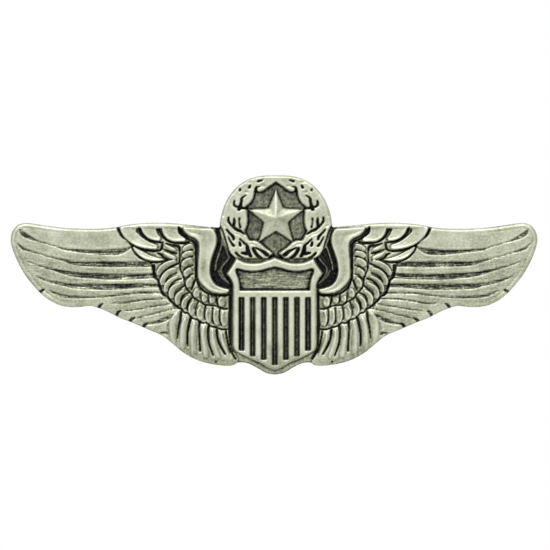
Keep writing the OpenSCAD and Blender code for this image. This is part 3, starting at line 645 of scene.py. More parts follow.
# %% [markdown]
# ## Wreath and star
# The real wreath has been polished until its leaves ran together. What is
# left is one bright raised band with a scalloped inner edge, dark pits and
# slits where the leaves part, and soft folds. So it is made that way: the
# band is everything between the outer edge and the star's ground, and the
# slits and folds are swept cuts, mirrored by the tree itself.

# %% Wreath
wreath_cuts = [
    ([[-2.85, 3.65], [-2.65, 3.2], [-2.35, 2.7], [-1.95, 2.3], [-1.5, 2.12]],
      [0.17, 0.23, 0.22, 0.21, 0.12]),
    ([[-2.6, 3.6], [-1.9, 3.28], [-1.3, 2.92], [-0.95, 2.62], [-0.6, 2.5]],
      [0.12, 0.15, 0.23, 0.26, 0.18]),
    ([[-3.75, 4.15], [-3.55, 3.7], [-3.45, 3.1], [-3.2, 2.6], [-2.9, 2.25]], [0.1, 0.2, 0.28, 0.22, 0.2]),
    ([[-4.45, 2.88], [-3.95, 2.82], [-3.4, 2.7]], [0.12, 0.2, 0.28]),
    ([[-4.65, 4.8], [-4.3, 4.5], [-4, 4.2], [-3.75, 3.95]], [0.1, 0.11, 0.13, 0.17]),
    ([[-4.55, 4.45], [-4.52, 4.05], [-4.4, 3.65]], [0.12, 0.17, 0.19]),
    ([[-6.4, 6.1], [-6, 5.62], [-5.65, 5.25], [-5.4, 4.95], [-5.35, 4.45]],
      [0.12, 0.14, 0.17, 0.19, 0.1]),
    ([[-6.15, 5.1], [-5.9, 4.6], [-5.6, 4.12], [-5.35, 3.82], [-5.15, 3.78]],
      [0.08, 0.11, 0.12, 0.18, 0.16]),
    ([[-5.15, 3], [-4.8, 2.6], [-4.4, 2.3], [-3.95, 2.2]], [0.13, 0.15, 0.12, 0.1]),
    ([[-6, 7.7], [-6.05, 7.1], [-5.7, 6.58], [-5.3, 6.22], [-4.9, 5.92], [-4.5, 5.78], [-4.1, 5.5],
      [-3.75, 5.3]], [0.12, 0.16, 0.13, 0.17, 0.2, 0.19, 0.14, 0.12]),
    ([[-5.3, 7.6], [-5.27, 7], [-5.35, 6.5], [-5.2, 6.2]], [0.1, 0.17, 0.19, 0.15]),
    ([[-4.58, 7.6], [-4.63, 7.05], [-4.55, 6.6], [-4.45, 6.1]], [0.15, 0.1, 0.1, 0.18]),
    ([[-4.3, 10.2], [-4.35, 9.6], [-4.45, 9.2], [-4.55, 8.9], [-4.75, 8.4]],
      [0.16, 0.17, 0.2, 0.28, 0.14]), ([[-4.35, 10.15], [-3.95, 10.38], [-3.6, 10.6]], [0.13, 0.1, 0.06]),
    ([[-4.6, 8.9], [-4, 8.8], [-3.4, 8.85]], [0.2, 0.15, 0.17]),
    ([[-5.22, 9.95], [-5.3, 9.3], [-5.1, 9.05], [-4.7, 8.95]], [0.1, 0.15, 0.14, 0.17]),
    ([[-1.75, 11.62], [-2.2, 11.65], [-2.42, 11.4], [-2.38, 10.9]], [0.05, 0.12, 0.17, 0.16]),
    ([[-2.3, 12.33], [-1.9, 12.43], [-1.4, 12.6]], [0.14, 0.14, 0.06]),
    ([[-3.42, 11.38], [-3.27, 11.6], [-3.1, 11.95]], [0.14, 0.17, 0.08]),
    ([[-4.5, 11.5], [-4.52, 11]], 0.13), ([[-6, 8.8], [-5.85, 8.78]], 0.13),
    # the last two lines are painted shadow, under the star's left arm and below its foot, mirrored; on the
    # star's ground nothing is cut, so there they are only painted dark
    ([[-3.2, 8.42], [-2.7, 8.2], [-2.2, 7.88], [-1.7, 7.52], [-1.2, 7.42]],
      [0.08, 0.12, 0.16, 0.2, 0.14]),
    ([[-1.35, 4.85], [-0.7, 5.4], [-0.1, 5.72], [0.4, 5.8]], [0.08, 0.12, 0.14, 0.12])]
wreath_folds = [
    ([[-6.5, 10], [-6.72, 9], [-6.85, 7.6]], 0.2), ([[-5.7, 10.6], [-5.25, 11.2], [-4.9, 11.6]], 0.2),
    ([[-3.7, 12.2], [-2.9, 12.3]], 0.18), ([[-1.9, 11.8], [-1.1, 11.75]], 0.2),
    ([[-4, 11], [-3.3, 10.9]], 0.2),
    ([[-6.8, 6.6], [-6.3, 6.35], [-5.8, 5.9], [-5.2, 5.45], [-4.6, 5.3], [-4, 4.85]], 0.12),
    ([[-3.2, 4.1], [-2.5, 3.95], [-1.6, 3.4], [-0.7, 2.95]], 0.12)]
star_field = [
    [0.25, 12.25], [-0.1, 12], [-0.7, 11.6], [-1.3, 11.15], [-1.9, 10.93], [-2.5, 11.1], [-2.6, 10.6],
    [-2.8, 10], [-3.2, 9.4], [-3.7, 9], [-3.55, 8.5], [-3.45, 7.2], [-3.6, 6.3], [-3.85, 5.7],
    [-3.5, 5.15], [-3.2, 4.6], [-2.6, 4.6], [-1.9, 4.3], [-1, 3.5], [-0.4, 3.1], [-0.12, 2.85],
    [-0.2, 2.6], [-0.6, 2.4], [-0.7, 1.8], [0.25, 1.7]]
leaf_side = [
    [-8.5, 13.5], [-8.5, 6.95], [-7.1, 6.45], [-6.78, 5.9], [-6.5, 5.05], [-6.22, 4.1], [-6.02, 3.3],
    [-5.7, 2.6], [-5.3, 2.1], [-4.8, 1.7], [wreath_x, 1.2]]
star_ground = two_halves(joined(smooth(star_field, 3)), wreath_x)
wreath_in = np.minimum(wreath_in, two_halves(leaf_side, wreath_x))
wreath_land = (wreath_in > 0) & (star_ground < 0)
foot_fade = fade(Y - 2.02, 0.2)                # the band ends above the shield
level = plate + 0.35 + 0.6 * shoulder(-star_ground, 0.28) * foot_fade + 0.05 * band(wreath_in, 0.22, 0.18)
land = np.where(wreath_in > 0, plate, land)
land = np.where(wreath_land, level, land)
land = np.where(star_ground > 0, plate + 0.1, land)
land = cut_by(land, press("wreath folds", "engraved cut", wreath_folds,
                          rise=0.12, edge=0.2, mirror_line=wreath_x))
leaf_cut_and_star_shadow = press("wreath cuts", "engraved cut", wreath_cuts, rise=0.6, edge=0.13, mirror_line=wreath_x)
land = cut_by(land, np.where(star_ground < 0.1, leaf_cut_and_star_shadow, np.nan))

# %% Star
star_tip, star_inner, star_y = 3.95, 1.72, 7.45
star_edge, star_peak, star_wall = 1.5, 2.1, 0.2
ox, oy = X - wreath_x, Y - star_y
turn = np.arctan2(ox, oy) % (2 * pi / 5)
turn = np.minimum(turn, 2 * pi / 5 - turn)                 # angle from the nearest arm
far = np.hypot(ox, oy)
ax, ay = far * np.cos(turn), far * np.sin(turn)            # along and across that arm
corner = (star_inner * cos(pi / 5), star_inner * sin(pi / 5))
side = (corner[0] - star_tip, corner[1])                   # from the tip to the inner corner
length = hypot(*side)
star_in = (side[1] * (star_tip - ax) + side[0] * ay) / length
middle = side[1] * star_tip / length                       # the same distance at the star's centre
star = star_edge - star_wall + star_wall * shoulder(star_in, 0.2)
star = star + (star_peak - star_edge) * fade(star_in, middle)
star = np.where(star_in > 0, blur(star, 0.12), star)
land = np.where(star_in > 0, star, land)
print("star edge to its centre, mm:", round(middle, 2))

# %% [markdown]
# ## Shield
# The shield stands highest. Its border and chief frame a sunk panel and seven
# slots, and each slot has a fine line along its floor. Sharp dies leave small
# rounds on all these edges, so each step is a quarter-round of 0.2-0.35 mm.

# %% Shield
panel_edge = [
    [0, 1.05], [-1, 0.82], [-2, 0.55], [-3, 0.48], [-4, 0.58], [-5.05, 0.8], [-5.15, 0.3], [-4.85, -0.5],
    [-4.7, -1.3], [-4.65, -2.12]]
field_foot = [
    [-5.6, -9.4], [-5.3, -10.1], [-4.3, -10.7], [-3.2, -11.25], [-2, -11.75], [-1, -12.35], [0, -12.75]]
slot_top, slot_feet, slot_pitch, slot_half = -3.0, (-12.0, -11.3, -10.85, -10.1), 1.47, 0.36
border, field_rise, slot_floor, slot_depth = 0.65, 0.85, 0.5, 1.0
panel_in = two_halves(shifted(smooth(panel_edge), shield_x), shield_x)
foot_half = shifted(smooth(field_foot), shield_x)
field_line = joined([[-9, 5], [-9, -9.4]], foot_half, mirrored(foot_half, shield_x), [[9, -9.4], [9, 5]])
field_in = np.minimum(shield_in, inside_distance(field_line))
slot_in = np.full(X.shape, -reach)
for i in range(-3, 4):
    cx, foot = shield_x + i * slot_pitch, slot_feet[abs(i)]
    box = np.minimum(slot_half - np.abs(X - cx), np.minimum(slot_top - Y, Y - foot))
    slot_in = np.maximum(slot_in, box)
from_line = np.abs(((X - shield_x + slot_pitch / 2) % slot_pitch) - slot_pitch / 2)
slot_line = np.clip(1 - from_line / 0.14, 0, 1)
shield = plate + border * shoulder(shield_in, 0.3)
field = plate + border + field_rise * shoulder(field_in, 0.35)
shield = np.where(field_in > 0, np.maximum(shield, field), shield)
panel = plate + border + field_rise * shoulder(0.1 - panel_in, 0.25)
shield = np.where(panel_in > -0.1, np.minimum(shield, panel), shield)
slots = plate + slot_floor + slot_depth * shoulder(0.1 - slot_in, 0.2)
shield = np.where(slot_in > -0.1, np.minimum(shield, slots), shield)
shield = np.where(slot_in > 0.16, shield + 0.3 * np.sqrt(slot_line), shield)
land = np.where(shield_in > -0.02, shield, land)
print("shield field, mm:", round(float(shield.max()), 2))

# %% [markdown]
# ## Soft edges, the black, and painted shade
# Casting and tumbling soften every edge a little. Then the badge is dipped in
# black oxide and rubbed back, so the black stays where the metal is lower
# than what surrounds it. That is worked out here: the field is compared with
# blurred copies of itself, and the low plates and cuts keep extra black. On
# the open wing, slopes that face inwards and down get painted shade, slopes
# that face outwards and up are painted lighter, and crests get a painted
# highlight. The result goes onto the mesh as an attribute that the material
# reads.

# %% Edge rounding and hollows
edge_round, tumbled = 0.35, 0.05               # mm
land = land - edge_round * (1 - shoulder(badge_in, edge_round))
land = blur(land, tumbled)
# each row: blur in mm, mm added to the depth, depth that holds all the black it can, share of the black
hollow_sizes = ((0.7, 0.04, 0.25, 0.2), (0.35, 0.0, 0.3, 0.45), (0.13, 0.0, 0.14, 0.7))
hollow = sum(share * fade(blur(land, size) - land + more, full) for size, more, full, share in hollow_sizes)
# each row: where, the share left there by the wheel, and elsewhere
for where, kept, else_kept in ((flight_cell > 0.3, 0.6, 0.72), (wreath_land, 0.5, 1),
                               ((shield_in > 0) & (field_in < 0), 0.6, 1)):
    hollow = np.where(where, kept, else_kept) * hollow
# the slots get their black below; the full-depth floors of the feather lines get no hollow black, so they
# stay lighter as a painted sheen
cut_floor = np.nan_to_num(feather_cut) > line_depth - 0.01
hollow = np.where((slot_in > 0) | cut_floor, 0, hollow)
up_y, out_x = np.gradient(blur(land, 0.12), pitch)
open_wing = (wing_in > 0.5) & (shield_in < 0) & (wreath_in < 0) & (arm_in < 0)
# painted shade: on the open wing, slopes that face inwards and down are darkened, and slopes that face
# outwards and up are lightened
painted_slope_shade = np.where(open_wing, np.clip((0.8 * out_x * np.sign(X) + 0.45 * up_y) / 0.8, -0.5, 1), 0)
# painted highlight: convex crests are made lighter
crest_highlight = fade(land - blur(land, 0.25), 0.1)
print("mean hollow:", round(float(hollow[badge_in > 0].mean()), 3))

# %% Oxide map, with painted shade and highlight
black = {"web": 0.82, "notch": 0.7, "channel": 0.42, "star ground": 0.31, "leaf cut and star shadow": 0.8,
         "slot": 0.84, "slot line": 0.6, "star": 0.02, "painted low shade": 0.16, "panel": 0.22, "panel rim": 0.15}
# where a feather line reaches full depth its black eases back to 0.62: a painted sheen on the floors of the
# wider lines
line_profile = ([0, 0.35, 0.8, 0.95, 1.0], [0, 0.38, 0.84, 0.84, 0.62])      # share of depth, black


def held(cut, full, most):
    """The black in a cut, which holds the most from that depth on."""
    return most * fade(np.nan_to_num(cut), full)


low_web = (web_in > -0.1) & (land < plate + 0.3) & (arm_in < 0.05) & (shield_in < 0) & (wreath_in < 0.1)
ground = (wreath_in > 0) & (star_in < 0) & (shield_in < 0) & (land < plate + 0.45)
laurel = (wreath_in > 0) & (shield_in < 0)
region = np.where(low_web, black["web"] - 2.1 * np.clip(land - plate, 0, 0.2), 0.0)
region = np.maximum(region, np.interp(np.nan_to_num(feather_cut) / line_depth, *line_profile))
region = np.maximum(region, held(notch_cut, 0.2, black["notch"]))
region = np.maximum(region, held(channel_cut, 0.14, black["channel"]))
region = np.where(ground, black["star ground"], region)
# the leaf slits hold oxide; the two lines by the star are painted shadow
region = np.maximum(region, np.where(laurel, held(leaf_cut_and_star_shadow, 0.45, black["leaf cut and star shadow"]), 0))
region = np.where(slot_in > 0.05, black["slot"] - black["slot line"] * slot_line, region)
region = np.where(star_in > 0, black["star"], region)
# painted shade: the wing darkens along its lower edge below y = -7.5, where the metal slopes down and away
region = np.maximum(region, black["painted low shade"] * fade(-7.5 - Y, 2.5) * fade(1.1 - wing_in, 0.4))
panel_black = black["panel"] + black["panel rim"] * np.clip(1.4 - panel_in / 0.6, 0, 1)
region = np.where(panel_in > 0, panel_black, region)
# the flight feathers get darker downwards from y = 4.5 mm
low_wing = np.where(flight_cell > 0.3, 0.065 * fade(4.5 - Y, 3), 0)
everywhere, most_held = 0.13, 0.87
oxide_and_shading = everywhere + low_wing + most_held * np.maximum(hollow, blur(region, 0.05)) + 0.11 * painted_slope_shade - 0.1 * crest_highlight
oxide_and_shading = np.clip(oxide_and_shading, 0, 1)
streaky = np.where((flight_cell > 0) | (panel_in > 0), 1.0, 0.0)
print("mean black:", round(float(oxide_and_shading[badge_in > 0].mean()), 3))

# %% [markdown]
# ## From bench to badge
# The grid becomes the skin of one closed piece. Cells that reach over the
# outline have their outer corners pulled back onto it, a wall drops from that
# edge to the back, and the back is filled flat, with a round socket for each
# nail's foot.

# %% Skin cells
seats = {"left": (-19.0, 0.7), "centre": (0.0, -4.0), "right": (19.0, 0.7)}
socket_r, socket_depth, around = 1.75, 0.35, 48


def read(field, x, y):
    """A bench field's value between its points."""
    u = np.clip((np.asarray(x) - xs[0]) / pitch, 0, len(xs) - 1.001)
    v = np.clip((np.asarray(y) - ys[0]) / pitch, 0, len(ys) - 1.001)
    i, j = u.astype(int), v.astype(int)
    a, b = u - i, v - j
    return ((1 - a) * (1 - b) * field[j, i] + a * (1 - b) * field[j, i + 1]
            + (1 - a) * b * field[j + 1, i] + a * b * field[j + 1, i + 1])


gy, gx = np.gradient(badge_in, pitch)
slope = np.hypot(gx, gy) + 1e-9
pull = np.where(badge_in <= 0, -badge_in / slope, 0)
px, py = X + gx * pull / slope, Y + gy * pull / slope
inner = badge_in > 0
used = inner[:-1, :-1] | inner[:-1, 1:] | inner[1:, :-1] | inner[1:, 1:]
for _ in range(3):                             # cells that meet only at a corner are joined
    touch = (used[:-1, :-1] & used[1:, 1:] & ~used[:-1, 1:] & ~used[1:, :-1])
    used[:-1, 1:] |= touch
    touch = (~used[:-1, :-1] & ~used[1:, 1:] & used[:-1, 1:] & used[1:, :-1])
    used[:-1, :-1] |= touch
number = np.full(X.shape, -1)
jj, ii = np.nonzero(used)
for dj, di in ((0, 0), (0, 1), (1, 0), (1, 1)):
    number[jj + dj, ii + di] = 0
spots = np.argwhere(number == 0)
number[spots[:, 0], spots[:, 1]] = np.arange(len(spots))
vx, vy = px[spots[:, 0], spots[:, 1]], py[spots[:, 0], spots[:, 1]]
vh = read(land, vx, vy)
quads = np.stack([number[jj, ii], number[jj, ii + 1], number[jj + 1, ii + 1], number[jj + 1, ii]], 1)
print("skin cells:", len(quads))

# %% Outline loop
edges = np.concatenate([quads[:, [k, (k + 1) % 4]] for k in range(4)])
keys = dict.fromkeys(map(tuple, edges.tolist()))
follow = {a: b for a, b in keys if (b, a) not in keys}
loop = [next(iter(follow))]
while len(loop) <= len(follow):
    step_to = follow[loop[-1]]
    if step_to == loop[0]:
        break
    loop.append(step_to)
for _ in range(5):                             # the outline's small steps are eased out
    for v in (vx, vy):
        v[loop] = 0.25 * v[loop[-1:] + loop[:-1]] + 0.5 * v[loop] + 0.25 * v[loop[1:] + loop[:1]]
count = len(loop)
print("outline points:", count, "of", len(follow))

# %% Wall, back and sockets
points = [(x, -h, y) for x, y, h in zip(vx, vy, vh)]
back_start = len(points)
points += [(vx[a], 0.0, vy[a]) for a in loop]
faces = [tuple(q) for q in quads.tolist()]
for k in range(count):
    n = (k + 1) % count
    faces.append((loop[n], loop[k], back_start + k, back_start + n))
smooth_faces = len(faces)
rings = [[back_start + k for k in range(count)]]
for sx, sy in seats.values():
    mouth = len(points)
    circle = [(sx + socket_r * cos(2 * pi * k / around), sy + socket_r * sin(2 * pi * k / around))
              for k in range(around)]
    points += [(x, y, z) for y in (0.0, -socket_depth) for x, z in circle]
    for k in range(around):
        n = (k + 1) % around
        faces.append((mouth + n, mouth + k, mouth + around + k, mouth + around + n))
    faces.append(tuple(mouth + around + k for k in range(around)))
    rings.append([mouth + k for k in range(around)])
flat = [[Vector((points[i][0], points[i][2], 0)) for i in ring] for ring in rings]
order = [i for ring in rings for i in ring]
faces += [tuple(order[i] for i in tri) for tri in tessellate_polygon(flat)]
print("faces:", len(faces))

# %% Casting
mesh = bpy.data.meshes.new("struck_wings")
mesh.from_pydata([(x * MM, y * MM, z * MM) for x, y, z in points], [], faces)
mesh.validate()
edit = bmesh.new()
edit.from_mesh(mesh)
bmesh.ops.recalc_face_normals(edit, faces=edit.faces)
open_edges = sum(1 for e in edit.edges if len(e.link_faces) != 2)
if edit.calc_volume(signed=True) < 0:
    bmesh.ops.reverse_faces(edit, faces=edit.faces)
print("open edges:", open_edges, "volume, mm3:", round(edit.calc_volume() * 1e9))
for e in edit.edges:                           # sharp where skin meets wall, and at corners of the wall
    walls = [max(v.index for v in f.verts) >= back_start for f in e.link_faces]
    e.smooth = walls[0] == walls[1] and (not walls[0] or e.calc_face_angle() < radians(50))
edit.to_mesh(mesh)
edit.free()
shade = np.zeros(len(mesh.polygons), bool)
shade[:smooth_faces] = True
mesh.polygons.foreach_set("use_smooth", shade)
co = np.empty(len(mesh.vertices) * 3)
mesh.vertices.foreach_get("co", co)
co = co.reshape(-1, 3) / MM
for name, field, on_wall, on_back in (("oxide_and_shading", oxide_and_shading, 0.2, 0.12), ("streaky", streaky, 0.0, 0.0)):
    values = np.where(co[:, 1] < -0.3, read(field, co[:, 0], co[:, 2]), on_back)
    values[loop] = on_wall
    mesh.attributes.new(name, "FLOAT", "POINT").data.foreach_set("value", values.astype(np.float32))
casting = bpy.data.objects.new("struck_wings", mesh)
bpy.context.scene.collection.objects.link(casting)
print("casting triangles:", sum(len(p.vertices) - 2 for p in mesh.polygons))

# %% [markdown]
# ## Antiqued silver plate
# The real metal is a zinc casting with a silver plate, dipped in black oxide
# and rubbed back on a soft wheel. To the eye that is warm pale metal with a
# fine soft grain on the high spots, olive grey on slopes, and dry black in
# the valleys. The metal is fully metallic with the default IOR; the black is
# rougher and darker, and fine scratches and cast grain are bump only.

# %% Starting and dressing a metal
def fresh_metal(name):
    """A fully metallic material, with its tree, its shader and its object coordinates."""
    metal = bpy.data.materials.new(name)
    metal.use_nodes = True
    tree = metal.node_tree
    skin = tree.nodes["Principled BSDF"]
    skin.inputs["Metallic"].default_value = 1.0
    return metal, tree, skin, node(tree, "ShaderNodeTexCoord").outputs["Object"]


def dress(tree, skin, tone, gloss, *bumps):
    """Link colour and roughness, and lay bumps over each other: (height, strength, metres)."""
    tree.links.new(tone.outputs["Color"], skin.inputs["Base Color"])
    tree.links.new(gloss.outputs[0], skin.inputs["Roughness"])
    under = {}
    for height, strength, depth in bumps:
        bump = node(tree, "ShaderNodeBump",
                    {"Height": height, "Strength": strength, "Distance": depth, **under})
        under = {"Normal": bump}
    tree.links.new(bump.outputs[0], skin.inputs["Normal"])


def attribute(tree, name):
    return node(tree, "ShaderNodeAttribute", attribute_name=name, attribute_type="GEOMETRY").outputs["Fac"]


def lay_along(tree, where, scale, tilt=0.0):
    """Coordinates stretched by a scale for each axis, and tilted about Y in degrees."""
    return node(tree, "ShaderNodeMapping",
                {"Vector": where, "Scale": scale, "Rotation": (0, radians(tilt), 0)})

# %% Antique silver material
def antique_silver():
    metal, tree, skin, where = fresh_metal("antique silver plate")
    # oxide black from the hollows, with painted shade on slopes, below the wing and by the star, and a
    # painted highlight on crests
    oxide_and_shading_here = attribute(tree, "oxide_and_shading")
    patch = noise(tree, where, 450.0, 6.0, 0.65)                                      # 2 mm patches
    grain = noise(tree, where, 3200.0, 3.0, 0.6)                                      # 0.3 mm cast grain
    stain = remap(tree, patch, 0.3, 0.7, -0.08, 0.1)
    speck = remap(tree, grain, 0.3, 0.7, -0.5, 0.5)
    speck = calc(tree, "MULTIPLY", speck, remap(tree, oxide_and_shading_here, 0.1, 0.6, 0.1, 0.5))
    streak = noise(tree, lay_along(tree, where, (500.0, 500.0, 7000.0), -4), 1.0, 3.0, 0.6)  # 0.15 mm apart
    drawn = remap(tree, streak, 0.3, 0.7, -0.36, 0.36)
    drawn = calc(tree, "MULTIPLY", drawn, remap(tree, oxide_and_shading_here, 0.15, 0.5, 0.1, 1.0))
    drawn = calc(tree, "MULTIPLY", drawn, attribute(tree, "streaky"))
    dark = calc(tree, "ADD", calc(tree, "ADD", oxide_and_shading_here, stain), drawn)
    dark = calc(tree, "ADD", dark, speck, clamp=True)
    tone = steps(node(tree, "ShaderNodeValToRGB", {"Fac": dark}), (0.0, "#dfe2cf"), (0.13, "#c6c9b3"),
                 (0.3, "#93967f"), (0.48, "#66685c"), (0.68, "#3b3c3a"), (1.0, "#15161a"))
    scratch = noise(tree, lay_along(tree, where, (400.0, 3000.0, 6000.0), 7), 1.0, 4.0, 0.7)
    gloss = remap(tree, dark, 0.0, 0.8, 0.4, 0.75)
    dress(tree, skin, tone, gloss, (scratch, 0.12, 0.00003), (grain, 0.3, 0.00005))
    return metal


silver = antique_silver()
mesh.materials.append(silver)
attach(casting, "badge")
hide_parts("struck_badge")
print("silver nodes:", len(silver.node_tree.nodes))

# %% [markdown]
# ## Metals of the pins
# Three finishes are on the back: drawn nickelled wire for the nails, bright
# nickel on the pressed discs and drums, and plain spring brass on the domes
# and ears. Turned and drawn parts carry fine rings about the nail's axis, so
# the materials work out their distance from the nearest nail. Object
# coordinates are enough for that, because the outer two seats mirror each
# other.

# %% Pin metals
seat_x, seat_z = (v * MM for v in seats["right"])
mid_seat_z = seats["centre"][1] * MM


def from_axis(tree, where):
    part = node(tree, "ShaderNodeSeparateXYZ", {0: where}).outputs
    wide = calc(tree, "ABSOLUTE", part[0])
    outer = calc(tree, "GREATER_THAN", wide, seat_x / 2)
    across = calc(tree, "SUBTRACT", wide, calc(tree, "MULTIPLY", outer, seat_x))
    up = calc(tree, "SUBTRACT", part[2], remap(tree, outer, 0.0, 1.0, mid_seat_z, seat_z))
    flat = node(tree, "ShaderNodeCombineXYZ", {0: across, 1: up})
    return node(tree, "ShaderNodeVectorMath", {0: flat}, operation="LENGTH").outputs["Value"]


def turned_metal(name, bright, worn_tone, dull, rough, ring_depth, along):
    """Metal with rings or draw lines, dull patches and bright rubbed spots."""
    metal, tree, skin, where = fresh_metal(name)
    if along:                                                  # lines along the nail, 0.05 mm apart
        lines = noise(tree, lay_along(tree, where, (14000.0, 300.0, 14000.0)), 1.0)
    else:                                                      # rings about the nail, 0.12 mm apart
        lay = node(tree, "ShaderNodeCombineXYZ", {0: from_axis(tree, where)})
        lines = noise(tree, lay, 8000.0, 3.0, 0.7)
    patch = noise(tree, where, 700.0, 5.0, 0.6)                # 1.4 mm patches
    fleck = noise(tree, where, 5000.0)                         # 0.2 mm flecks
    dulled = remap(tree, patch, 0.4, 0.72, 0.0, 0.85)
    mixed = calc(tree, "ADD", dulled, remap(tree, lines, 0.3, 0.7, -0.14, 0.14))
    mixed = calc(tree, "ADD", mixed, remap(tree, fleck, 0.62, 0.75, 0.0, 0.3), clamp=True)
    ramp = node(tree, "ShaderNodeValToRGB", {"Fac": mixed})
    tone = steps(ramp, (0.0, bright), (0.5, worn_tone), (1.0, dull))
    gloss = remap(tree, mixed, 0.0, 1.0, rough, rough + 0.28)
    dress(tree, skin, tone, gloss, (lines, 0.25, ring_depth), (patch, 0.2, 0.00004))
    return metal


wire = turned_metal("drawn nickelled wire", "#d8d2bb", "#b5ab8b", "#7d7358", 0.28, 0.00001, True)
nickel = turned_metal("bright nickel plate", "#d3d4cf", "#b4b5ae", "#86867c", 0.22, 0.000012, False)
dome_brass = turned_metal("drawn brass", "#d9bd7c", "#bd9a55", "#876a38", 0.26, 0.000012, False)
spring_brass = turned_metal("rolled spring brass", "#dfc68c", "#c3a362", "#8f7442", 0.3, 0.00001, True)
print("pin metals:", wire.name, nickel.name, dome_brass.name, spring_brass.name)

# %% [markdown]
# ## Turned parts
# Nails, discs and domes are all round, so each is a profile turned about the
# nail's axis. A profile that starts and ends on the axis closes at its
# poles; one that never touches it closes on itself, as a washer does. Heights
# run out of the badge's back. A nail is headed wire: a flat foot in a solder
# pool, a ring groove that a jaw can snap into, and a ground point.

# %% Turning and finishing
cloth_gap, sheet = 2.5, 0.3                    # mm, badge to disc, and sheet thickness


def turned(profile, around):
    """Points and faces of a profile of (radius, height) turned about the axis."""
    closed = profile[0][0] > 0
    points, rows, faces = [], [], []
    for r, h in profile:
        if r == 0:
            rows.append([len(points)] * around)
            points.append((0.0, h, 0.0))
        else:
            rows.append(list(range(len(points), len(points) + around)))
            points += [(r * cos(2 * pi * k / around), h, r * sin(2 * pi * k / around)) for k in range(around)]
    for a, b in zip(rows, rows[1:] + rows[:1] if closed else rows[1:]):
        for k in range(around):
            n = (k + 1) % around
            faces.append(tuple(dict.fromkeys((a[k], a[n], b[n], b[k]))))
    return points, faces


def finished(name, points, faces, seat, metal, body, stands_for, slot, crease=32):
    """A closed shape in millimetres about a seat becomes a piece of the badge."""
    sx, sz = seats[seat]
    made = bpy.data.meshes.new(name)
    made.from_pydata([((x + sx) * MM, y * MM, (z + sz) * MM) for x, y, z in points], [], faces)
    edit = bmesh.new()
    edit.from_mesh(made)
    bmesh.ops.remove_doubles(edit, verts=edit.verts, dist=1e-8)
    bmesh.ops.recalc_face_normals(edit, faces=edit.faces)
    edit.to_mesh(made)
    edit.free()
    made.polygons.foreach_set("use_smooth", [True] * len(made.polygons))
    made.set_sharp_from_angle(angle=radians(crease))
    made.materials.append(metal)
    piece = bpy.data.objects.new(name, made)
    bpy.context.scene.collection.objects.link(piece)
    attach(piece, body)
    if stands_for:
        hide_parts(stands_for)


def arc(r0, h0, radius, first, last, n):
    """Part of a circle in a profile, by angles in degrees."""
    angles = [radians(first + (last - first) * i / n) for i in range(n + 1)]
    return [(r0 + radius * cos(a), h0 + radius * sin(a)) for a in angles]


# %% Nails
foot = [(0, -0.35), (1.62, -0.35), (1.7, -0.27), (1.7, 0.06), (1.62, 0.16), (1.45, 0.2), (1.2, 0.23),
        (1.0, 0.29), (0.82, 0.38), (0.68, 0.5), (0.6, 0.66)]
groove = [(0.6, 2.4), (0.6, 5.95), (0.57, 6.0), (0.5, 6.05), (0.47, 6.14), (0.47, 6.26), (0.5, 6.35),
          (0.57, 6.4), (0.6, 6.45)]
point = [(0.6, 6.85), (0.58, 6.98), (0.5, 7.2), (0.38, 7.5), (0.24, 7.78), (0.12, 7.94), (0.05, 7.99),
         (0, 8.0)]
for seat in seats:
    finished(f"{seat}_nail", *turned(foot + groove + point, 40), seat, wire, "badge",
             f"post_{seat}", "nail_brass")
print("nail length, mm:", point[-1][1])

# %% [markdown]
# ## Clutch discs, drums and domes
# A disc is stamped with a ring groove for stiffness, its edge is rolled into
# a bead, and its middle is drawn up into a collar that is spread over the
# drum's floor, so the drum can turn on it. The drum's CAD shape is already
# right and only takes the nickel. The dome is drawn with a small dimple
# where the nail's point stops.

# %% Disc profile
disc_r, bead, collar = 4.7, 0.36, 1.25
ring_r, ring_half, ring_rise = 3.62, 0.32, 0.13


def stamped(r, base):
    """The pressed ring lifts both faces of the sheet alike."""
    off = r - ring_r
    return base + ring_rise * max(0.0, cos(off / ring_half * pi / 2)) ** 2 if abs(off) < ring_half else base


web = [1.35 + 0.12 * i for i in range(1, 22)]
disc_profile = [(0.75, 0.12), (0.8, 0.03), (0.9, 0.0)] + [(r, stamped(r, 0.0)) for r in web]
disc_profile += arc(disc_r - bead, bead, bead, -85, 195, 16) + [(disc_r - 2 * bead + 0.02, sheet)]
disc_profile += [(r, stamped(r, sheet)) for r in reversed(web)]
disc_profile += [(1.3, sheet + 0.02), (collar, 0.36), (collar, 0.85), (1.3, 0.875), (1.62, 0.88),
                 (1.69, 0.93), (1.7, 0.97), (1.66, 1.02), (1.5, 1.05), (1.15, 1.09), (0.88, 1.08),
                 (0.78, 1.03), (0.75, 0.95)]
discs = [(r, h + cloth_gap) for r, h in disc_profile]
print("disc profile points:", len(disc_profile))

# %% Dome profile, and the pieces
drum_r, drum_top, dome_rise, dome_inner = 2.9, 3.6, 2.6, 2.6
dome_foot, dimple_r, dimple = 0.55, 0.75, 0.16


def dome_height(r, skin):
    """A flattened dome with a dimple in its middle."""
    round_part = (1 - min(r / (drum_r - skin), 1) ** 2) ** 0.5
    full = dome_foot + (dome_rise - dome_foot - skin) * round_part
    return full - dimple * max(0.0, 1 - (r / dimple_r) ** 2) ** 2


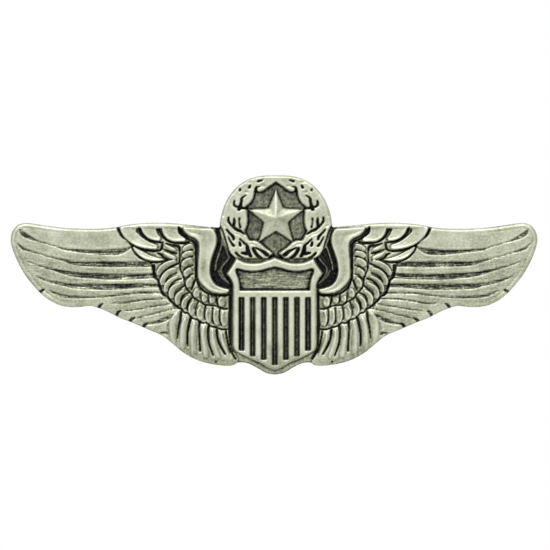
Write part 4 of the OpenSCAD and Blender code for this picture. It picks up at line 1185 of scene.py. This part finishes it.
outer_r = [0] + [drum_r * sin(pi / 2 * i / 16) for i in range(1, 17)]
inner_r = [r * dome_inner / drum_r for r in reversed(outer_r)]
dome_profile = [(r, dome_height(r, 0)) for r in outer_r]
dome_profile += [(2.9, 0.42), (2.94, 0.34), (3.04, sheet), (3.1, 0.24), (3.1, 0.06), (3.05, 0),
                 (dome_inner, 0)]
dome_profile += [(r, dome_height(r, sheet)) for r in inner_r]
domes = [(r, h + cloth_gap + drum_top) for r, h in dome_profile]
for seat in seats:
    finished(f"{seat}_clutch_disc", *turned(discs, 96), seat, nickel, f"clutch_{seat}_base",
             f"clutch_{seat}_plate", "clutch_nickel")
    finished(f"{seat}_clutch_dome", *turned(domes, 80), seat, dome_brass, f"clutch_{seat}_cap",
             f"clutch_{seat}_dome", "clutch_brass")
    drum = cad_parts[f"clutch_{seat}_frame"]
    drum.data.materials.clear()
    drum.data.materials.append(nickel)
print("dome profile points:", len(dome_profile))

# %% [markdown]
# ## Butterfly ears
# Each wing of a clutch is one bent strip of spring brass. Its flat end, the
# jaw, crosses the nail and has a long hole whose far edge grips it; its other
# end loops back as a paddle-shaped ear. The strip is laid out as a flat grid
# along its bend line, and then Solidify gives it its thickness and Bevel
# breaks its edges.

# %% Strip layout
jaw_half, jaw_tip, hole_half, hole_from, hole_to = 1.2, 1.75, 0.8, -1.9, 0.63
neck_x, shoulder_x, ear_half, ear_reach, ear_top = -3.7, -4.6, 2.2, 6.2, 4.3
across_lines = [-1, -hole_half / jaw_half, -0.33, 0, 0.33, hole_half / jaw_half, 1]


def paddle(x):
    """Half the strip's width at a distance from the nail."""
    if x > neck_x:
        return jaw_half
    if x > shoulder_x:
        return jaw_half + (ear_half - jaw_half) * (neck_x - x) / 0.9
    return ear_half * max(0.0, 1 - ((x + ear_reach - 1.6) / ear_half) ** 2) ** 0.5


def bend_line(jaw_z):
    """The ear's side view: in the jaw's plane, out, round and back."""
    line = smooth([[-3.6, jaw_z], [-5.25, jaw_z + 0.1], [-6.2, (jaw_z + ear_top) / 2],
                   [-5.45, ear_top - 0.15], [-4.6, ear_top - 0.1], [-3.65, ear_top - 0.8]], 6)
    way = np.gradient(line, axis=0)
    way /= np.hypot(way[:, 0], way[:, 1])[:, None]
    return line + np.stack([way[:, 1], -way[:, 0]], 1) * sheet / 2


def ear_strip(jaw_z):
    """The strip as a flat grid, with the long hole left out."""
    jaw = [[x, jaw_z + sheet / 2] for x in (jaw_tip, 1.5, 1.1, hole_to, 0, -0.6, -1.2, hole_from, -2.4, -2.9)]
    line = np.array(jaw + bend_line(jaw_z).tolist())
    points, faces = [], []
    for x, z in line:
        points += [(x, z, t * paddle(x)) for t in across_lines]
    wide = len(across_lines)
    for i in range(len(line) - 1):
        beside_hole = hole_from - 0.01 < line[i + 1][0] and line[i][0] < hole_to + 0.01
        for j in range(wide - 1):
            if not (beside_hole and 0 < j < wide - 2):
                a = i * wide + j
                faces.append((a, a + 1, a + wide + 1, a + wide))
    return points, faces


print("ear reach, mm:", round(float(-bend_line(1.45)[:, 0].min()), 2))

# %% Ears
def thickened(name, points, faces, thickness, bevel):
    """Sheet to solid, by modifiers that are applied."""
    flat = bpy.data.meshes.new(name)
    flat.from_pydata(points, [], faces)
    blank = bpy.data.objects.new(name, flat)
    bpy.context.scene.collection.objects.link(blank)
    wall = blank.modifiers.new("sheet", "SOLIDIFY")
    wall.thickness, wall.offset, wall.use_even_offset = thickness, 0.0, True
    edge = blank.modifiers.new("broken edges", "BEVEL")
    edge.width, edge.segments, edge.limit_method, edge.angle_limit = bevel, 2, "ANGLE", radians(50)
    return taken(blank)


def turned_round(points, side):
    return [(side * x, cloth_gap + y, z) for x, y, z in points]


jaw_levels = {"a": 1.45, "b": 2.05}
sides = {"a": 1, "b": -1}                      # wing a reaches to -X, wing b is its mirror
ears = {wing: thickened("ear", *ear_strip(z), sheet, 0.06) for wing, z in jaw_levels.items()}
for seat in seats:
    for wing, (points, faces) in ears.items():
        finished(f"{seat}_clutch_ear_{wing}", turned_round(points, sides[wing]), faces, seat, spring_brass,
                 f"clutch_{seat}_jaw_{wing}", f"clutch_{seat}_wing_{wing}", "clutch_spring")
print("ear faces:", [len(f) for _, f in ears.values()])

# %% [markdown]
# ## Grip ribs
# Four ribs are pressed across the top of each ear for the finger and thumb.
# They repeat along the bend line, so Geometry Nodes set them out: the line is
# trimmed to its grip part and resampled, and on each point a small rod is
# placed, which thins towards its ends.

# %% Rib tree
def rib_tree():
    numbers = {"Ribs": 4, "First": 0.5, "Last": 0.8, "Length": 2.6, "Radius": 0.14}
    tree, given = new_tree("grip ribs", "Line", numbers, "Made")
    grip = node(tree, "GeometryNodeTrimCurve",
                {0: given["Line"], "Start": given["First"], "End": given["Last"]}, mode="FACTOR")
    spots = node(tree, "GeometryNodeResampleCurve", {"Curve": grip, "Count": given["Ribs"]}, mode="COUNT")
    half = calc(tree, "MULTIPLY", given["Length"], 0.5)
    low = node(tree, "ShaderNodeCombineXYZ", {2: calc(tree, "MULTIPLY", half, -1.0)})
    high = node(tree, "ShaderNodeCombineXYZ", {2: half})
    rod = node(tree, "GeometryNodeCurvePrimitiveLine", {"Start": low, "End": high})
    rod = node(tree, "GeometryNodeResampleCurve", {"Curve": rod, "Count": 9}, mode="COUNT")
    off = remap(tree, node(tree, "GeometryNodeSplineParameter").outputs["Factor"], 0.0, 1.0, -1.0, 1.0)
    taper = remap(tree, calc(tree, "POWER", off, 4.0), 0.0, 1.0, 1.0, 0.3)
    size = calc(tree, "MULTIPLY", taper, given["Radius"])
    rod = node(tree, "GeometryNodeSetCurveRadius", {"Curve": rod, "Radius": size})
    ring = node(tree, "GeometryNodeCurvePrimitiveCircle", {"Resolution": 10, "Radius": 1.0}, mode="RADIUS")
    rod = node(tree, "GeometryNodeCurveToMesh",
               {"Curve": rod, "Profile Curve": ring, "Scale": size, "Fill Caps": True})
    placed = node(tree, "GeometryNodeInstanceOnPoints", {"Points": spots, "Instance": rod})
    return close_tree(tree, placed, given["Metal"])


# %% Ribs on every ear
ribs = rib_tree()
for wing, jaw_z in jaw_levels.items():
    guide = guide_lines("grip line", [[(x, z, 1.0) for x, z in bend_line(jaw_z)]])
    grid = guide.modifiers.new("ribs", "NODES")
    grid.node_group = ribs
    set_inputs(grid, {"Ribs": 4, "First": 0.44, "Last": 0.72, "Length": 2.4, "Radius": 0.3,
                      "Metal": spring_brass})
    points, faces = taken(guide)
    for seat in seats:
        finished(f"{seat}_clutch_ribs_{wing}", turned_round(points, sides[wing]), faces, seat, spring_brass,
                 f"clutch_{seat}_jaw_{wing}", None, "clutch_spring", 60)
    print("ribs", wing, "faces:", len(faces))

# %% [markdown]
# ## Studio
# The badge is looked at straight on from 0.6 m. A white world, a broad soft
# light in front and above, and a pale floor below give the even light of a
# catalogue. The floor stops a little way behind the badge, so that its far
# edge stays below the front view.

# %% Camera and lights
scene = bpy.context.scene
eye, view_width, sensor = 0.6, 73.2 * MM, 36.0
lens = bpy.data.cameras.new("catalogue camera")
lens.sensor_width = sensor
lens.lens = sensor * eye / view_width
lens.clip_end = 10.0
lens.clip_start = 0.01
camera = bpy.data.objects.new("catalogue camera", lens)
camera.location = (0.13 * MM, -eye, -0.07 * MM)
camera.rotation_euler = (radians(90), 0, 0)
scene.collection.objects.link(camera)
scene.camera = camera


def soft_light(name, place, size, watts):
    """A rectangle of light that faces the badge."""
    data = bpy.data.lights.new(name, "AREA")
    data.shape = "RECTANGLE"
    data.size, data.size_y = size
    data.energy = watts
    lamp = bpy.data.objects.new(name, data)
    lamp.location = place
    lamp.rotation_euler = (-Vector(place)).to_track_quat("-Z", "Y").to_euler()
    scene.collection.objects.link(lamp)


soft_light("front window", (-0.1, -0.75, 0.5), (0.8, 0.5), 3.1)
soft_light("top window", (0.1, -0.15, 0.6), (0.7, 0.4), 0.5)
print("lens, mm:", round(lens.lens))

# %% World and floor
world = scene.world or bpy.data.worlds.new("studio")
scene.world = world
world.use_nodes = True
sky = world.node_tree
sky.nodes.clear()
seen = node(sky, "ShaderNodeLightPath").outputs["Is Camera Ray"]
to = node(sky, "ShaderNodeTexCoord").outputs["Generated"]
up = node(sky, "ShaderNodeSeparateXYZ", {0: to})
glow = remap(sky, up.outputs[2], -0.6, 0.8, 0.4, 0.76)
soft = node(sky, "ShaderNodeBackground", {"Color": (1, 1, 1, 1), "Strength": glow})
white = node(sky, "ShaderNodeBackground", {"Color": (1, 1, 1, 1), "Strength": 1.0})
both = node(sky, "ShaderNodeMixShader", {0: seen, 1: soft, 2: white})
node(sky, "ShaderNodeOutputWorld", {"Surface": both})
scene.view_settings.view_transform = "Standard"

side_reach, near, away, level = 1.5, -1.2, 0.3, -0.056         # metres
corners = [(-side_reach, near, level), (side_reach, near, level),
           (side_reach, away, level), (-side_reach, away, level)]
floor_mesh = bpy.data.meshes.new("pale floor")
floor_mesh.from_pydata(corners, [], [(0, 1, 2, 3)])
floor = bpy.data.objects.new("pale_floor", floor_mesh)
scene.collection.objects.link(floor)
paper = bpy.data.materials.new("pale paper")
paper.use_nodes = True
card = paper.node_tree.nodes["Principled BSDF"].inputs
card["Base Color"].default_value = colour("#e8e8e4")
card["Roughness"].default_value = 0.9
floor_mesh.materials.append(paper)
print("floor at, mm:", level / MM)
